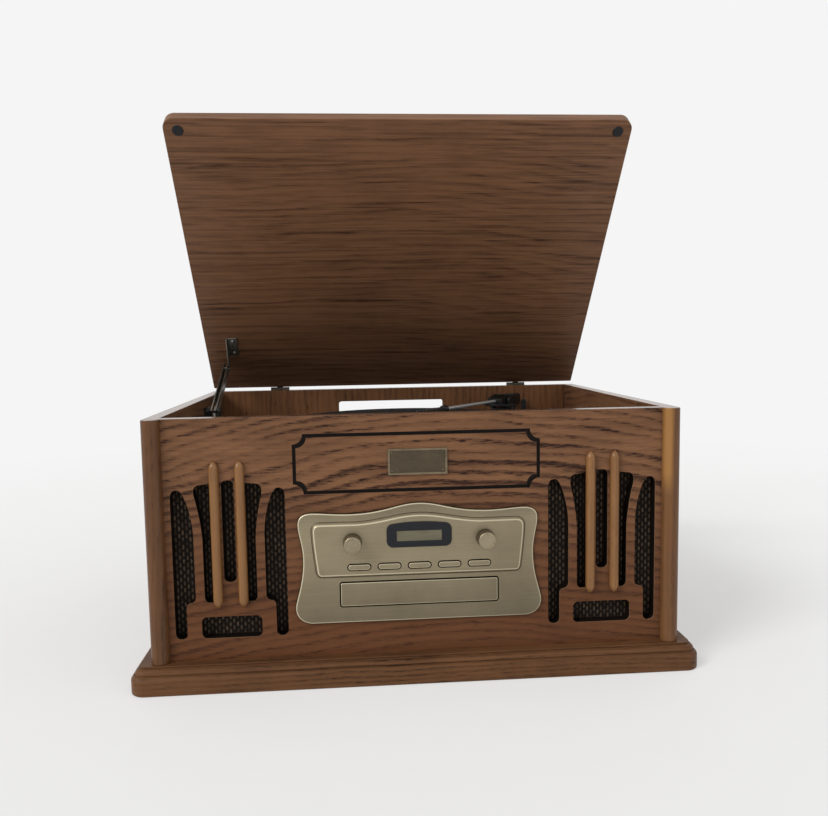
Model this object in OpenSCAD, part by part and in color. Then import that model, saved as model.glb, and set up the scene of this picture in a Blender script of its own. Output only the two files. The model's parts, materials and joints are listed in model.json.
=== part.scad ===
// Music center: a wooden cabinet with a record player under its lid,
// a disc player and a radio behind a cast front plate, and two speakers.
// Millimetres, +Z up, front towards -Y, origin on the floor under the case's middle.

/* [Case] */
// Width over the side boards
case_w = 500; // [470:1:560]
// Depth from the front board's face to the back board's face
case_d = 371; // [360:1:420]
// Height of the case's top edge above the floor
case_top = 252; // [248:1:290]
// Thickness of the side boards
side_t = 14; // [12:0.5:18]
// Thickness of the front board
front_t = 12; // [9:0.5:15]
// Thickness of the back board
back_t = 12; // [9:0.5:14]
// Thickness of the bottom board
bottom_t = 12; // [9:0.5:14]
// Radius of the half-round posts at the front corners
post_r = 8.5; // [6:0.5:10]
// Height of the plinth
plinth_h = 25.5; // [24.5:0.5:34]
// How far the plinth stands out from the case
plinth_out = 18; // [16:0.5:26]
// Radius of the plinth's front corners, seen from above
plinth_corner = 14; // [9:0.5:16]

/* [Lid] */
// How far each side of the lid stands in from the case's side
lid_in = 1; // [0:0.5:4]
// How far the lid's front edge stands out over the case's front
lid_over = 12.7; // [8:0.1:20]
// Thickness of the lid
lid_t = 13.7; // [10:0.1:18]
// Radius of the lid's front corners
lid_corner = 12; // [4:1:20]
// Height of the closed lid's underside above the case
lid_gap = 1.2; // [1:0.1:3]
// How far the lid stands open
lid_open = 50; // [35:1:55]
// Radius of the lid's rubber bumpers
bumper_r = 6; // [4:0.5:6.5]
// Width of a hinge
hinge_w = 25; // [20:1:36]
// Distance of each hinge from the case's side
hinge_in = 85.5; // [60:0.5:140]

/* [Grilles] */
// Distance from the case's side to the middle of a grille
grille_in = 74.7; // [72:0.1:78]
// Height of the top of the middle grille opening
grille_top = 194.5; // [190:0.5:200]
// Height of the foot of the outer grille openings
grille_foot = 46; // [44:0.5:48]
// Distance of each bar from the middle of its grille
bar_x = 11.6; // [11.2:0.1:12.4]
// Radius of the bars
bar_r = 4.5; // [4:0.1:4.8]
// Height of the bars' lower tips
bar_foot = 75; // [73:0.5:78]
// Height of the bars' upper tips
bar_top = 213; // [208:0.5:220]

/* [Front plate] */
// How far the cast plate stands out from the front board
plate_t = 3; // [2:0.1:4]
// How far the raised panel stands out from the plate
panel_t = 3; // [2:0.1:4]
// Height of the plate's lower edge above the floor
plate_foot = 56.2; // [54:0.1:58]
// Diameter of the knobs
knob_d = 17.4; // [14:0.1:20]
// Length of the knobs
knob_l = 12.4; // [10:0.1:16]
// Distance of each knob from the middle
knob_x = 62; // [58:0.5:66]
// Length of a push button
button_l = 20.8; // [16:0.1:22]
// Height of a push button
button_h = 5.4; // [4:0.1:6]
// Distance between push buttons
button_pitch = 28.1; // [26:0.1:32]
// How far a push button travels
button_travel = 1.2; // [0.8:0.1:1.6]
// Width of the disc drawer's front
drawer_w = 148; // [146:1:156]
// Height of the disc drawer's front
drawer_h = 22.6; // [20:0.1:24]

/* [Record player] */
// Clear space between the front board and the platter's mat
mat_front = 24; // [22:0.5:30]
// Clear space between the platter's mat and the back board
mat_back = 23; // [21:0.5:30]
// Height of the mat's top face above the deck board
mat_rise = 20; // [18:0.5:22]
// Distance of the deck's top face under the case's top edge
deck_drop = 46; // [44:0.5:50]
// Clear space between the mat's rim and the tonearm's pivot
pivot_clear = 33.5; // [32:0.5:36]
// Distance of the tonearm's pivot in front of the back board
pivot_back = 51; // [49:0.5:54]
// Distance from the tonearm's pivot to the stylus
arm_l = 200; // [192:0.5:206]
// Angle of the tonearm from straight ahead, in over the mat
arm_swing = 33.5; // [30:0.5:36]
// Radius of the tonearm's tube
tube_r = 2; // [1.6:0.1:2.6]

/* [Speakers] */
// Outer diameter of a speaker's flange
speaker_d = 100; // [90:1:104]
// Height of the speakers' middles above the floor
speaker_z = 130; // [120:1:140]

/* [Fits] */
// Radial clearance of a running shaft
run_gap = 0.05; // [0.02:0.01:0.1]
// Clearance between pieces that move past each other
part_gap = 0.3; // [0.3:0.05:0.5]

/* [Hidden] */

wood = "#7a5236";
wood_light = "#a87a4c";
wood_dark = "#5b3b27";
bronze = "#8f866f";
bronze_dark = "#6f6752";
black = "#1d1d1d";
steel = "#b8b8b4";
green = "#2f5b3a";

yf = -case_d / 2;
yb = case_d / 2;
xs = case_w / 2;
xi = xs - side_t;
rot_front = [90, 0, 0];

function bez(a, b, c, d, n = 10) = [for (i = [0 : n - 1]) let (t = i / n, s = 1 - t)
    s * s * s * a + 3 * s * s * t * b + 3 * s * t * t * c + t * t * t * d];
function mirrored(p) = [for (i = [len(p) - 1 : -1 : 0]) [-p[i][0], p[i][1]]];

// A box from its low corner to its high corner
module box(a, b) {
    translate(a) cube(b - a);
}
// Draws a shape that lies in the x-z plane and gives it the depth from y0 to y1
module front_extrude(y0, y1) {
    translate([0, y1, 0]) rotate(rot_front) linear_extrude(y1 - y0) children();
}
// A flat shape with rounded ends, lying along x
module pill(l, h) {
    square([l - h, h], center = true);
    for (s = [-1, 1]) translate([s * (l - h) / 2, 0]) circle(d = h, $fn = 32);
}
// A rectangle with four round corners
module round_rect(w, h, r) {
    square([w - 2 * r, h], center = true);
    square([w, h - 2 * r], center = true);
    for (sx = [-1, 1], sy = [-1, 1])
        translate([sx * (w / 2 - r), sy * (h / 2 - r)]) circle(r, $fn = 32);
}

// Cabinet
bead_low = 5;
bead_high = 4.5;
bead_low_z = plinth_h - 12.5;
bead_high_x = plinth_out - 8;
bead_high_z = bead_low_z + 5.6;
groove_r = 0.9;
lip_w = 8;
batten_w = 30;
corner_x = xs + plinth_out - plinth_corner;
corner_y = yf - plinth_out + plinth_corner;

// The plinth's section: x runs outwards from the case's face, y is the height
module plinth_section() {
    foot_r = 2;
    difference() {
        union() {
            translate([-side_t, 0]) square([side_t + plinth_out - foot_r, bead_low_z]);
            translate([-side_t, foot_r]) square([side_t + plinth_out, bead_low_z - foot_r]);
            translate([plinth_out - foot_r, foot_r]) circle(foot_r, $fn = 32);
            translate([plinth_out - bead_low, bead_low_z]) circle(bead_low, $fn = 48);
            translate([-side_t, 0]) square([side_t + plinth_out - bead_low, bead_low_z + bead_low]);
            translate([-side_t, 0]) square([side_t + bead_high_x, bead_high_z + bead_high]);
            translate([bead_high_x, bead_high_z]) circle(bead_high, $fn = 48);
            translate([-side_t, 0]) square([side_t + bead_high_x, plinth_h]);
        }
        translate([bead_high_x + bead_high - 0.1, bead_low_z + bead_low]) circle(groove_r, $fn = 24);
        translate([bead_high_x, bead_high_z + bead_high + 0.4]) circle(groove_r, $fn = 24);
    }
    translate([-side_t - lip_w, 0]) square([lip_w, plinth_h - bottom_t]);
}
module plinth_run(l) {
    rotate([90, 0, 0]) linear_extrude(l) plinth_section();
}
module plinth_turn() {
    rotate_extrude(angle = 90, $fn = 96) intersection() {
        translate([plinth_corner - plinth_out, 0]) plinth_section();
        square([plinth_corner, plinth_h]);
    }
}
module plinth() {
    side_run = yb - corner_y;
    color(wood) {
        translate([xs, yb, 0]) plinth_run(side_run);
        translate([-xs, corner_y, 0]) rotate([0, 0, 180]) plinth_run(side_run);
        translate([corner_x, yf, 0]) rotate([0, 0, -90]) plinth_run(2 * corner_x);
        translate([corner_x, corner_y, 0]) rotate([0, 0, -90]) plinth_turn();
        translate([-corner_x, corner_y, 0]) rotate([0, 0, 180]) plinth_turn();
        box([-xi, yb - side_t, 0], [xi, yb, plinth_h]);
        box([-xi, yb - side_t - lip_w, 0], [xi, yb - side_t, plinth_h - bottom_t]);
        box([-batten_w / 2, yf + side_t, 0], [batten_w / 2, yb - side_t, plinth_h - bottom_t]);
    }
}
module bottom_board() {
    color(wood_dark) box([-xi, yf + side_t, plinth_h - bottom_t], [xi, yb - side_t, plinth_h]);
}
module left_side() {
    color(wood) box([-xs, yf, plinth_h], [-xi, yb, case_top]);
}
module right_side() {
    color(wood) box([xi, yf, plinth_h], [xs, yb, case_top]);
}
module corner_posts() {
    color(wood) for (s = [-1, 1]) translate([s * (xs - post_r), yf, plinth_h]) intersection() {
        cylinder(r = post_r, h = case_top - plinth_h, $fn = 64);
        translate([-post_r, -post_r, 0]) cube([2 * post_r, post_r, case_top]);
    }
}

// Grille openings, drawn about the grille's middle line at x = 0
grille_x = xs - grille_in;
outer_x = 52;
leg_x = 41;
waist_x = 32.2;
inner_x = 24.2;
strip_x = 14;
slot_x = 5.7;
slot_r = 5;
slot_foot = grille_foot + 53;
foot_w = 55.6;
foot_h = 20.6;
foot_r = 5;

module outer_opening() {
    t = grille_top;
    f = grille_foot;
    polygon(concat(
        [[-outer_x, f + 6]],
        bez([-outer_x, t - 16], [-outer_x, t - 10.5], [-50, t - 8], [-46, t - 8]),
        bez([-46, t - 8], [-42.5, t - 8], [-40.6, t - 12.5], [-38.6, t - 17]),
        bez([-38.6, t - 17], [-35.2, t - 26], [-waist_x, t - 40], [-waist_x, t - 55]),
        bez([-waist_x, f + 40], [-waist_x, f + 36], [-34.4, f + 34.6], [-37.6, f + 34]),
        bez([-37.6, f + 34], [-40.2, f + 33.6], [-leg_x, f + 32], [-leg_x, f + 28]),
        bez([-leg_x, f + 5], [-leg_x, f + 1.6], [-43.4, f], [-46, f]),
        bez([-46, f], [-50, f], [-outer_x, f + 2.5], [-outer_x, f + 6])
    ));
}
module inner_opening() {
    t = grille_top;
    f = grille_foot;
    polygon(concat(
        bez([-inner_x, t - 55], [-25, t - 42.5], [-26.6, t - 31.5], [-28.6, t - 22.5]),
        bez([-28.6, t - 22.5], [-29.8, t - 16.5], [-31.6, t - 12], [-30.6, t - 8]),
        bez([-30.6, t - 8], [-29.8, t - 5], [-27.5, t - 3.7], [-24, t - 3.5]),
        [[-strip_x, t - 2.6], [-strip_x, f + 34]],
        bez([-19.5, f + 34], [-22.6, f + 34], [-inner_x, f + 36.5], [-inner_x, f + 40])
    ));
}
module grille_openings() {
    for (s = [0, 1]) mirror([s, 0]) {
        outer_opening();
        inner_opening();
    }
    translate([0, (grille_top + slot_foot) / 2]) round_rect(2 * slot_x, grille_top - slot_foot, slot_r);
    translate([0, grille_foot + foot_h / 2]) round_rect(foot_w, foot_h, foot_r);
}

// Front board: grille openings, the plate's cut-out and the scribed border
plate_hole_x = 98;
plate_hole_z = [plate_foot + 6, plate_foot + 92];
border_w = 230;
border_h = 55.2;
border_z = 207.2;
border_cut = 9.6;
border_line = 2.3;
border_depth = 1.5;

// A rectangle whose corners are scooped out
module scooped(w, h, r) {
    difference() {
        square([w, h], center = true);
        for (sx = [-1, 1], sy = [-1, 1]) translate([sx * w / 2, sy * h / 2]) circle(r, $fn = 48);
    }
}
module front_board() {
    color(wood) difference() {
        box([-xi, yf, plinth_h], [xi, yf + front_t, case_top]);
        front_extrude(yf - 1, yf + front_t + 1) {
            for (s = [-1, 1]) translate([s * grille_x, 0]) grille_openings();
            translate([-plate_hole_x, plate_hole_z[0]])
                square([2 * plate_hole_x, plate_hole_z[1] - plate_hole_z[0]]);
        }
        front_extrude(yf - 1, yf + border_depth) translate([0, border_z]) difference() {
            scooped(border_w, border_h, border_cut);
            scooped(border_w - 2 * border_line, border_h - 2 * border_line, border_cut);
        }
    }
}
// A half-round bar with a pointed arch at each end
bar_lift = 1.2;
arch_r = 9;
module bar() {
    arch_h = sqrt(arch_r * arch_r - pow(arch_r - bar_r, 2));
    arch = [for (k = [0 : 8]) let (z = arch_h * k / 8)
        [bar_r - arch_r + sqrt(arch_r * arch_r - z * z), bar_top - arch_h + z]];
    foot = [for (k = [8 : -1 : 0]) let (z = arch_h * k / 8)
        [bar_r - arch_r + sqrt(arch_r * arch_r - z * z), bar_foot + arch_h - z]];
    intersection() {
        rotate_extrude($fn = 48) polygon(concat([[0, bar_foot]], [for (k = [1 : 8]) foot[k]],
            [for (k = [0 : 7]) arch[k]], [[0, bar_top]]));
        translate([-bar_r, -bar_r, 0]) cube([2 * bar_r, bar_r + bar_lift, case_top]);
    }
}
module grille_bars() {
    color(wood_light) for (s = [-1, 1], t = [-1, 1])
        translate([s * grille_x + t * bar_x, yf - bar_lift, 0]) bar();
}
cloth_t = 1;
cloth_w = 2 * outer_x + 5;
module grille_cloths() {
    color(black) for (s = [-1, 1]) translate([s * grille_x, 0, 0])
        box([-cloth_w / 2, yf + front_t, grille_foot - 5],
            [cloth_w / 2, yf + front_t + cloth_t, grille_top + 5]);
}
name_w = 55.4;
name_h = 24.6;
name_t = 1.8;
name_rim = 2;
name_deep = 0.8;
module name_plate() {
    color(bronze_dark) translate([0, 0, border_z]) difference() {
        front_extrude(yf - name_t, yf) round_rect(name_w, name_h, 1);
        front_extrude(yf - name_t - 1, yf - name_t + name_deep)
            round_rect(name_w - 2 * name_rim, name_h - 2 * name_rim, 0.6);
    }
}

// Back board: the slot behind the record player, vents and the socket panel's cut-out
slot_w = 144;
slot_mid = -7;
slot_z = [case_top - 43, case_top - 17];
panel_w = 160;
panel_h = 54;
panel_z = 74;
panel_lap = 8;
vent_w = 46;
vent_h = 5;
vent_in = 100;
vent_z = 90;
vent_pitch = 14;
module back_board() {
    color(wood_dark) difference() {
        box([-xi, yb - back_t, plinth_h], [xi, yb, case_top]);
        front_extrude(yb - back_t - 1, yb + 1) {
            translate([slot_mid, (slot_z[0] + slot_z[1]) / 2])
                round_rect(slot_w, slot_z[1] - slot_z[0], 4);
            translate([0, panel_z])
                square([panel_w - 2 * panel_lap, panel_h - 2 * panel_lap], center = true);
            for (s = [-1, 1], k = [0 : 3])
                translate([s * (xs - vent_in), vent_z + vent_pitch * k]) pill(vent_w, vent_h);
        }
    }
}
inlet_x = 62;
inlet_w = 14;
inlet_h = 8;
inlet_deep = 11;
jack_x = [for (k = [0 : 3]) -60 + 18 * k];
jack_r = 4.2;
jack_l = 9.5;
module socket_panel() {
    color(black) difference() {
        union() {
            front_extrude(yb, yb + 1.6) translate([0, panel_z]) round_rect(panel_w, panel_h, 4);
            front_extrude(yb - inlet_deep - 3, yb)
                translate([inlet_x, panel_z]) square([inlet_w + 3, inlet_h + 6], center = true);
            for (x = jack_x) translate([x, yb, panel_z]) rotate([-90, 0, 0])
                cylinder(r = jack_r, h = jack_l, $fn = 32);
        }
        for (x = jack_x) translate([x, yb - 1, panel_z]) rotate([-90, 0, 0])
            cylinder(r = 1.7, h = jack_l + 2, $fn = 24);
        front_extrude(yb - inlet_deep, yb + 2) translate([inlet_x, panel_z]) pill(inlet_w, inlet_h);
    }
    color(steel) for (s = [-1, 1]) translate([inlet_x + s * 4.4, yb - inlet_deep, panel_z])
        rotate([-90, 0, 0]) cylinder(r = 1.1, h = 6, $fn = 16);
}

// Speakers, drawn with the axis along +Z from the flange's front face
module speaker_pose(s) {
    translate([s * grille_x, yf + front_t + cloth_t, speaker_z]) rotate([-90, 0, 0]) children();
}
cone_r = speaker_d / 2 - 12;
former_r = 11.7;
basket_h = 26;
module speaker_frames() {
    window_r = 7;
    wall = 1.5;
    rim = speaker_d / 2 - 5;
    color(steel) for (s = [-1, 1]) speaker_pose(s) {
        difference() {
            rotate_extrude($fn = 64) polygon([
                [rim - 2, 0], [speaker_d / 2, 0], [speaker_d / 2, 2.4], [rim, 2.4], [28, basket_h],
                [13, basket_h], [13, basket_h - wall], [28 - wall, basket_h - wall], [rim - 2, 4]
            ]);
            for (k = [0 : 3]) rotate([0, 0, 45 + 90 * k]) translate([35, 0, 8])
                cylinder(r = window_r, h = basket_h, $fn = 32);
        }
        rotate_extrude($fn = 64) polygon([
            [cone_r + part_gap, 2], [cone_r + 2, 0.4], [cone_r + 4, 0.4], [rim - 2, 1], [rim - 2, 2],
            [cone_r + 4, 1.4], [cone_r + 2, 1.4], [cone_r + part_gap, 3]
        ]);
    }
}
module speaker_magnets() {
    color(wood_dark) for (s = [-1, 1]) speaker_pose(s) translate([0, 0, basket_h]) difference() {
        union() {
            cylinder(r = 30, h = 12, $fn = 64);
            cylinder(r = 26, h = 15, $fn = 64);
        }
        translate([0, 0, -1]) difference() {
            cylinder(r = former_r + 0.9, h = 11, $fn = 48);
            cylinder(r = former_r - 0.9, h = 12, $fn = 48);
        }
    }
}
module cone(s) {
    color(black) speaker_pose(s) rotate_extrude($fn = 64) polygon([
        [0, 9], [6, 9.8], [10.6, 12.4], [12.6, 14], [cone_r, 2.2], [cone_r, 3.2], [12.8, 15.4],
        [former_r + 0.5, 15.8], [former_r + 0.5, basket_h + 5], [former_r - 0.5, basket_h + 5],
        [former_r - 0.5, 14], [6, 10.8], [0, 10]
    ]);
}
module left_cone() {
    cone(-1);
}
module right_cone() {
    cone(1);
}

// Cast front plate, its display, knobs and buttons
knob_z = plate_foot + 77.9;
button_z = plate_foot + 54.1;
drawer_z = plate_foot + 27.6;
display_z = plate_foot + 82.2;
panel_y = yf - plate_t - panel_t;
window_z = display_z + 0.2;
button_x = [for (k = [-2 : 2]) k * button_pitch];
shaft_r = 3;

plate_ease = 1.6;
panel_ease = 2.6;
button_gap = 0.8;
button_rise = 0.9;
drawer_gap = 1;
drawer_rise = 0.8;

function plate_half() = let (f = plate_foot) concat(
    bez([0, f + 112.9], [20, f + 112.9], [30, f + 104.6], [62, f + 104.1]),
    bez([62, f + 104.1], [78, f + 103.9], [90, f + 105.9], [99, f + 105.9]),
    bez([99, f + 105.9], [108.5, f + 105.9], [112.8, f + 102], [112.8, f + 94.5]),
    bez([112.8, f + 94.5], [112.8, f + 86], [108.5, f + 76], [108.5, f + 62]),
    bez([108.5, f + 62], [108.5, f + 42], [114.6, f + 27], [116.3, f + 18]),
    bez([116.3, f + 18], [117.4, f + 6], [109, f], [98, f])
);
function raised_half() = let (f = plate_foot) concat(
    bez([0, f + 104.3], [22, f + 104.3], [36, f + 96.9], [66, f + 96.9]),
    bez([91, f + 97.3], [97.5, f + 97.3], [100.9, f + 94], [100.9, f + 88]),
    bez([100.9, f + 88], [100.6, f + 76], [98.4, f + 60], [97.4, f + 51]),
    bez([97.4, f + 51], [96.8, f + 46], [94.5, f + 43.5], [90, f + 43.5])
);
// Draws a flat shape from y0 to y1 and rounds its front edge off in steps
module rounded_front(y0, y1, ease, steps = 4) {
    for (i = [0 : steps]) let (turn = 90 * i / steps)
        front_extrude(y0 + ease * (1 - sin(turn)), y1) offset(delta = -ease * (1 - cos(turn))) children();
}
// The same with a straight slope, for a cast edge
module sloped_front(y0, y1, rise, run, steps = 6) {
    for (i = [0 : steps]) let (step = i / steps)
        front_extrude(y0 + rise * (1 - step), y1) offset(delta = -run * step) children();
}
module whole(half) {
    polygon(concat(mirrored(half), half));
}
module front_plate() {
    boss_l = 10;
    color(bronze) difference() {
        union() {
            rounded_front(yf - plate_t, yf, plate_ease) whole(plate_half());
            sloped_front(panel_y, yf, panel_t, panel_ease) whole(raised_half());
            for (sx = [-1, 1], z = [plate_foot + 50, plate_foot + 86])
                translate([sx * 90, yf - 1, z]) rotate([-90, 0, 0])
                    cylinder(r = 3, h = boss_l + 1, $fn = 24);
        }
        for (s = [-1, 1]) translate([s * knob_x, panel_y - 1, knob_z]) rotate([-90, 0, 0])
            cylinder(r = shaft_r + 0.7, h = plate_t + panel_t + 2, $fn = 32);
        front_extrude(panel_y - 1, yf + 1) for (x = button_x) translate([x, button_z])
            pill(button_l + 2 * button_gap, button_h + 2 * button_gap);
        front_extrude(panel_y - 1, yf + 1) {
            translate([0, window_z]) square([40, 8.6], center = true);
            translate([0, drawer_z]) round_rect(drawer_w + 2 * drawer_gap, drawer_h + 2 * drawer_gap, 2.8);
        }
    }
}
module bezel_outline() {
    w = 30.4;
    f = display_z - 10.6;
    t = display_z + 11.8;
    half = concat(
        bez([0, t + 1.6], [14, t + 1.6], [18, t + 0.6], [w - 6, t]),
        bez([w - 6, t], [w - 2, t - 0.4], [w, t - 2.6], [w, t - 7]),
        bez([w, f + 7], [w, f + 2.4], [w - 2.4, f + 0.2], [w - 7, f])
    );
    whole(half);
}
bezel_t = 1.5;
window_w = 42;
window_h = 9.7;
module display_bezel() {
    color("#232a33") difference() {
        union() {
            rounded_front(panel_y - bezel_t, panel_y, 0.8, 3) bezel_outline();
        }
        front_extrude(panel_y - bezel_t - 1, panel_y + 1) translate([0, window_z])
            square([window_w + 0.1, window_h + 0.1], center = true);
    }
}
module display_window() {
    color("#8c988a") front_extrude(panel_y - 1, panel_y) translate([0, window_z])
        square([window_w, window_h], center = true);
}
board_y = yf + 10;
board_t = 1.6;
board_w = 2 * (knob_x + 32);
board_h = 43;
switch_y = yf + 1.6 + button_travel + part_gap;
module control_board() {
    color(green) difference() {
        front_extrude(board_y, board_y + board_t)
            translate([-board_w / 2, plate_foot + 47]) square([board_w, board_h]);
        for (s = [-1, 1]) translate([s * knob_x, board_y - 1, knob_z]) rotate([-90, 0, 0])
            cylinder(r = shaft_r + 0.6, h = 4, $fn = 24);
    }
    color(black) {
        for (x = button_x)
            front_extrude(switch_y, board_y) translate([x, button_z]) square([6, 6], center = true);
        front_extrude(yf + 1, board_y) translate([0, display_z]) square([window_w + 10, 18], center = true);
        for (s = [-1, 1]) translate([s * knob_x, board_y + board_t, knob_z]) rotate([-90, 0, 0])
            difference() {
                cylinder(r = 8, h = 8, $fn = 32);
                translate([0, 0, -1]) cylinder(r = shaft_r + run_gap, h = 7, $fn = 32);
            }
    }
}
module knob(s) {
    r = knob_d / 2;
    y = panel_y - 0.6;
    color(bronze) translate([s * knob_x, y, knob_z]) rotate([90, 0, 0]) {
        difference() {
            union() {
                cylinder(r = r, h = 2, $fn = 64);
                cylinder(r1 = r - 0.3, r2 = r - 0.7, h = knob_l - 1, $fn = 64);
                cylinder(r = r - 1.6, h = knob_l, $fn = 64);
                translate([0, 0, knob_l - 1]) rotate_extrude($fn = 64)
                    translate([r - 1.7, 0]) circle(1, $fn = 24);
            }
            translate([0, 0, knob_l - 0.5]) cylinder(r = r - 2.4, h = 1, $fn = 64);
            translate([-0.4, r - 4, knob_l - 0.9]) cube([0.8, 5, 2]);
        }
        translate([0, 0, y - board_y - board_t - 5])
            cylinder(r = shaft_r, h = board_y + board_t + 5 - y, $fn = 32);
    }
}
module volume_knob() {
    knob(-1);
}
module tuning_knob() {
    knob(1);
}
module button(k) {
    color(bronze) translate([button_x[k], 0, button_z]) {
        rounded_front(panel_y - button_rise, yf + 0.4, 0.8, 3) pill(button_l, button_h);
        front_extrude(yf + 0.4, yf + 1.6) pill(button_l + 3, button_h + 3);
    }
}
module button_1() {
    button(0);
}
module button_2() {
    button(1);
}
module button_3() {
    button(2);
}
module button_4() {
    button(3);
}
module button_5() {
    button(4);
}

// Disc player
tray_y = yf + 1.6;
tray_l = 160;
tray_w = 138;
tray_z = drawer_z - 6;
tray_h = 8;
disc_y = tray_y + 72;
loader_y = yf + front_t + 3;
loader_l = 190;
loader_w = 168;
loader_z = [tray_z - 11, tray_z + 21];
sheet = 1.6;
module drawer_front() {
    color(bronze) {
        rounded_front(yf - plate_t - drawer_rise, tray_y, 0.8, 3)
            translate([0, drawer_z]) round_rect(drawer_w, drawer_h, 2);
    }
}
module disc_tray() {
    disc_r = 61;
    color(black) difference() {
        box([-tray_w / 2, tray_y, tray_z], [tray_w / 2, tray_y + tray_l, tray_z + tray_h]);
        translate([0, disc_y, tray_z + tray_h - 4.5]) cylinder(r = disc_r, h = 5, $fn = 96);
        translate([0, disc_y, tray_z + tray_h - 6]) cylinder(r = 42, h = 5, $fn = 96);
        translate([0, disc_y, tray_z - 1]) cylinder(r = 17, h = tray_h + 2, $fn = 48);
        box([-11, disc_y, tray_z - 1], [11, disc_y + 50, tray_z + tray_h + 1]);
    }
}
module loader_base() {
    w = loader_w / 2;
    rail_x = tray_w / 2 - 4;
    color(steel) {
        box([-w, loader_y, loader_z[0]], [w, loader_y + loader_l, loader_z[0] + sheet]);
        for (s = [0, 1]) mirror([s, 0, 0]) {
            box([w - sheet, loader_y, loader_z[0]], [w, loader_y + loader_l, loader_z[1]]);
            box([rail_x, loader_y, tray_z - part_gap - 2],
                [w - sheet, loader_y + loader_l, tray_z - part_gap]);
            box([tray_w / 2 + part_gap, loader_y, tray_z - part_gap - 2],
                [tray_w / 2 + part_gap + 2, loader_y + loader_l, tray_z + tray_h + part_gap + 2]);
            box([rail_x, loader_y, tray_z + tray_h + part_gap],
                [tray_w / 2 + part_gap + 2, loader_y + loader_l, tray_z + tray_h + part_gap + 2]);
            for (y = [loader_y + 12, loader_y + loader_l - 12])
                translate([w - 12, y, plinth_h]) cylinder(r = 5, h = loader_z[0] - plinth_h, $fn = 24);
        }
    }
    color(black) translate([0, disc_y, loader_z[0] + sheet]) difference() {
        cylinder(r = 12, h = 3, $fn = 32);
        translate([0, 0, 0.4]) cylinder(r = 1 + run_gap, h = 3, $fn = 24);
    }
}
module loader_cover() {
    w = loader_w / 2;
    color(steel) difference() {
        box([-w, loader_y, loader_z[1]], [w, loader_y + loader_l, loader_z[1] + sheet]);
        translate([0, disc_y, loader_z[1] - 1]) cylinder(r = 15, h = 4, $fn = 48);
    }
}
module disc_hub() {
    z0 = loader_z[0] + sheet + 0.6;
    z1 = tray_z - part_gap - 0.3;
    color(black) translate([0, disc_y, 0]) {
        translate([0, 0, z0]) cylinder(r = 1, h = 3, $fn = 24);
        translate([0, 0, z0 + 2.8]) cylinder(r = 13, h = 2, $fn = 48);
        translate([0, 0, z0 + 4.8]) cylinder(r1 = 7.4, r2 = 6, h = z1 - z0 - 4.8, $fn = 48);
    }
}

// Electronics on the bottom board
main_w = 110;
main_l = 120;
main_in = 31;
main_back = 45.5;
stand_h = 8;
sink_w = 70;
sink_l = 24;
sink_h = 34;
fin_pitch = 11;
can_r = 6;
can_h = 22;
module main_board() {
    z = plinth_h + stand_h;
    translate([-xi + main_in, yb - main_back - main_l, 0]) {
        color(green) box([0, 0, z], [main_w, main_l, z + board_t]);
        color(black) {
            for (x = [5, main_w - 5], y = [5, main_l - 5])
                translate([x, y, plinth_h]) cylinder(r = 3, h = stand_h, $fn = 24);
            for (k = [0 : 3])
                translate([15 + 16 * k, main_l - 20, z + board_t]) cylinder(r = can_r, h = can_h, $fn = 24);
        }
        color(steel) translate([15, 20, z + board_t]) difference() {
            box([0, 0, 0], [sink_w, sink_l, sink_h]);
            for (k = [0 : 5])
                box([5 + fin_pitch * k, -1, 4], [5 + fin_pitch * k + 6, sink_l - 6, sink_h + 1]);
        }
    }
}
core = 11;
core_t = 30;
coil_w = 12;
transformer_in = 126;
transformer_back = 125.5;
module transformer() {
    translate([xi - transformer_in, yb - transformer_back, plinth_h]) {
        color(steel) difference() {
            box([0, 0, 0], [6 * core, core_t, 5 * core]);
            for (x = [core, 4 * core]) box([x, -1, core], [x + core, core_t + 1, 4 * core]);
        }
        color("#b5763a") for (s = [-1, 1]) translate([0, core_t / 2 + s * (core_t + coil_w) / 2, 0])
            box([core, -coil_w / 2, core], [5 * core, coil_w / 2, 4 * core]);
    }
}

// Record player
deck_z = case_top - deck_drop;
deck_t = 4;
rail = 14;
mat_z = deck_z + mat_rise;
mat_t = 3;
platter_t = 3.5;
mat_d = case_d - front_t - back_t - mat_front - mat_back;
spin_y = yf + front_t + mat_front + mat_d / 2;

arm_y = yb - back_t - pivot_back;
arm_x = sqrt(pow(mat_d / 2 + pivot_clear, 2) - pow(arm_y - spin_y, 2));
arm_z = mat_z + 10;
shaft = 3.55;
motor_at = 112;
motor_x = -motor_at * sin(45);
motor_y = spin_y - motor_at * sin(45);
ring_r = 78;
pulley_r = 6;
belt_z = deck_z + 6;
belt_h = 4;
belt_t = 0.8;
belt_gap = 0.3;

module deck_rails() {
    color(wood_dark) for (s = [0, 1]) mirror([s, 0, 0])
        box([xi - rail, yf + front_t + cloth_t, deck_z - deck_t - rail],
            [xi, yb - back_t, deck_z - deck_t]);
}
corner_in = 46;
adapter_x = -xi + corner_in;
adapter_y = yf + front_t + corner_in;
adapter_r = 19;
speed_x = xi - corner_in;
module deck_board() {
    color(black) difference() {
        box([-xi, yf + front_t, deck_z - deck_t], [xi, yb - back_t, deck_z]);
        translate([0, spin_y, deck_z - deck_t - 1]) cylinder(r = 8, h = deck_t + 2, $fn = 48);
        translate([motor_x, motor_y, deck_z - deck_t - 1]) cylinder(r = 9, h = deck_t + 2, $fn = 48);
        translate([arm_x, arm_y, deck_z - deck_t - 1]) cylinder(r = 9, h = deck_t + 2, $fn = 48);
        translate([adapter_x, adapter_y, deck_z - 2]) cylinder(r = adapter_r + 0.3, h = 3, $fn = 64);
        translate([speed_x, adapter_y, deck_z - deck_t - 1])
            cylinder(r = shaft_r + run_gap, h = deck_t + 2, $fn = 32);
    }
}
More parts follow.
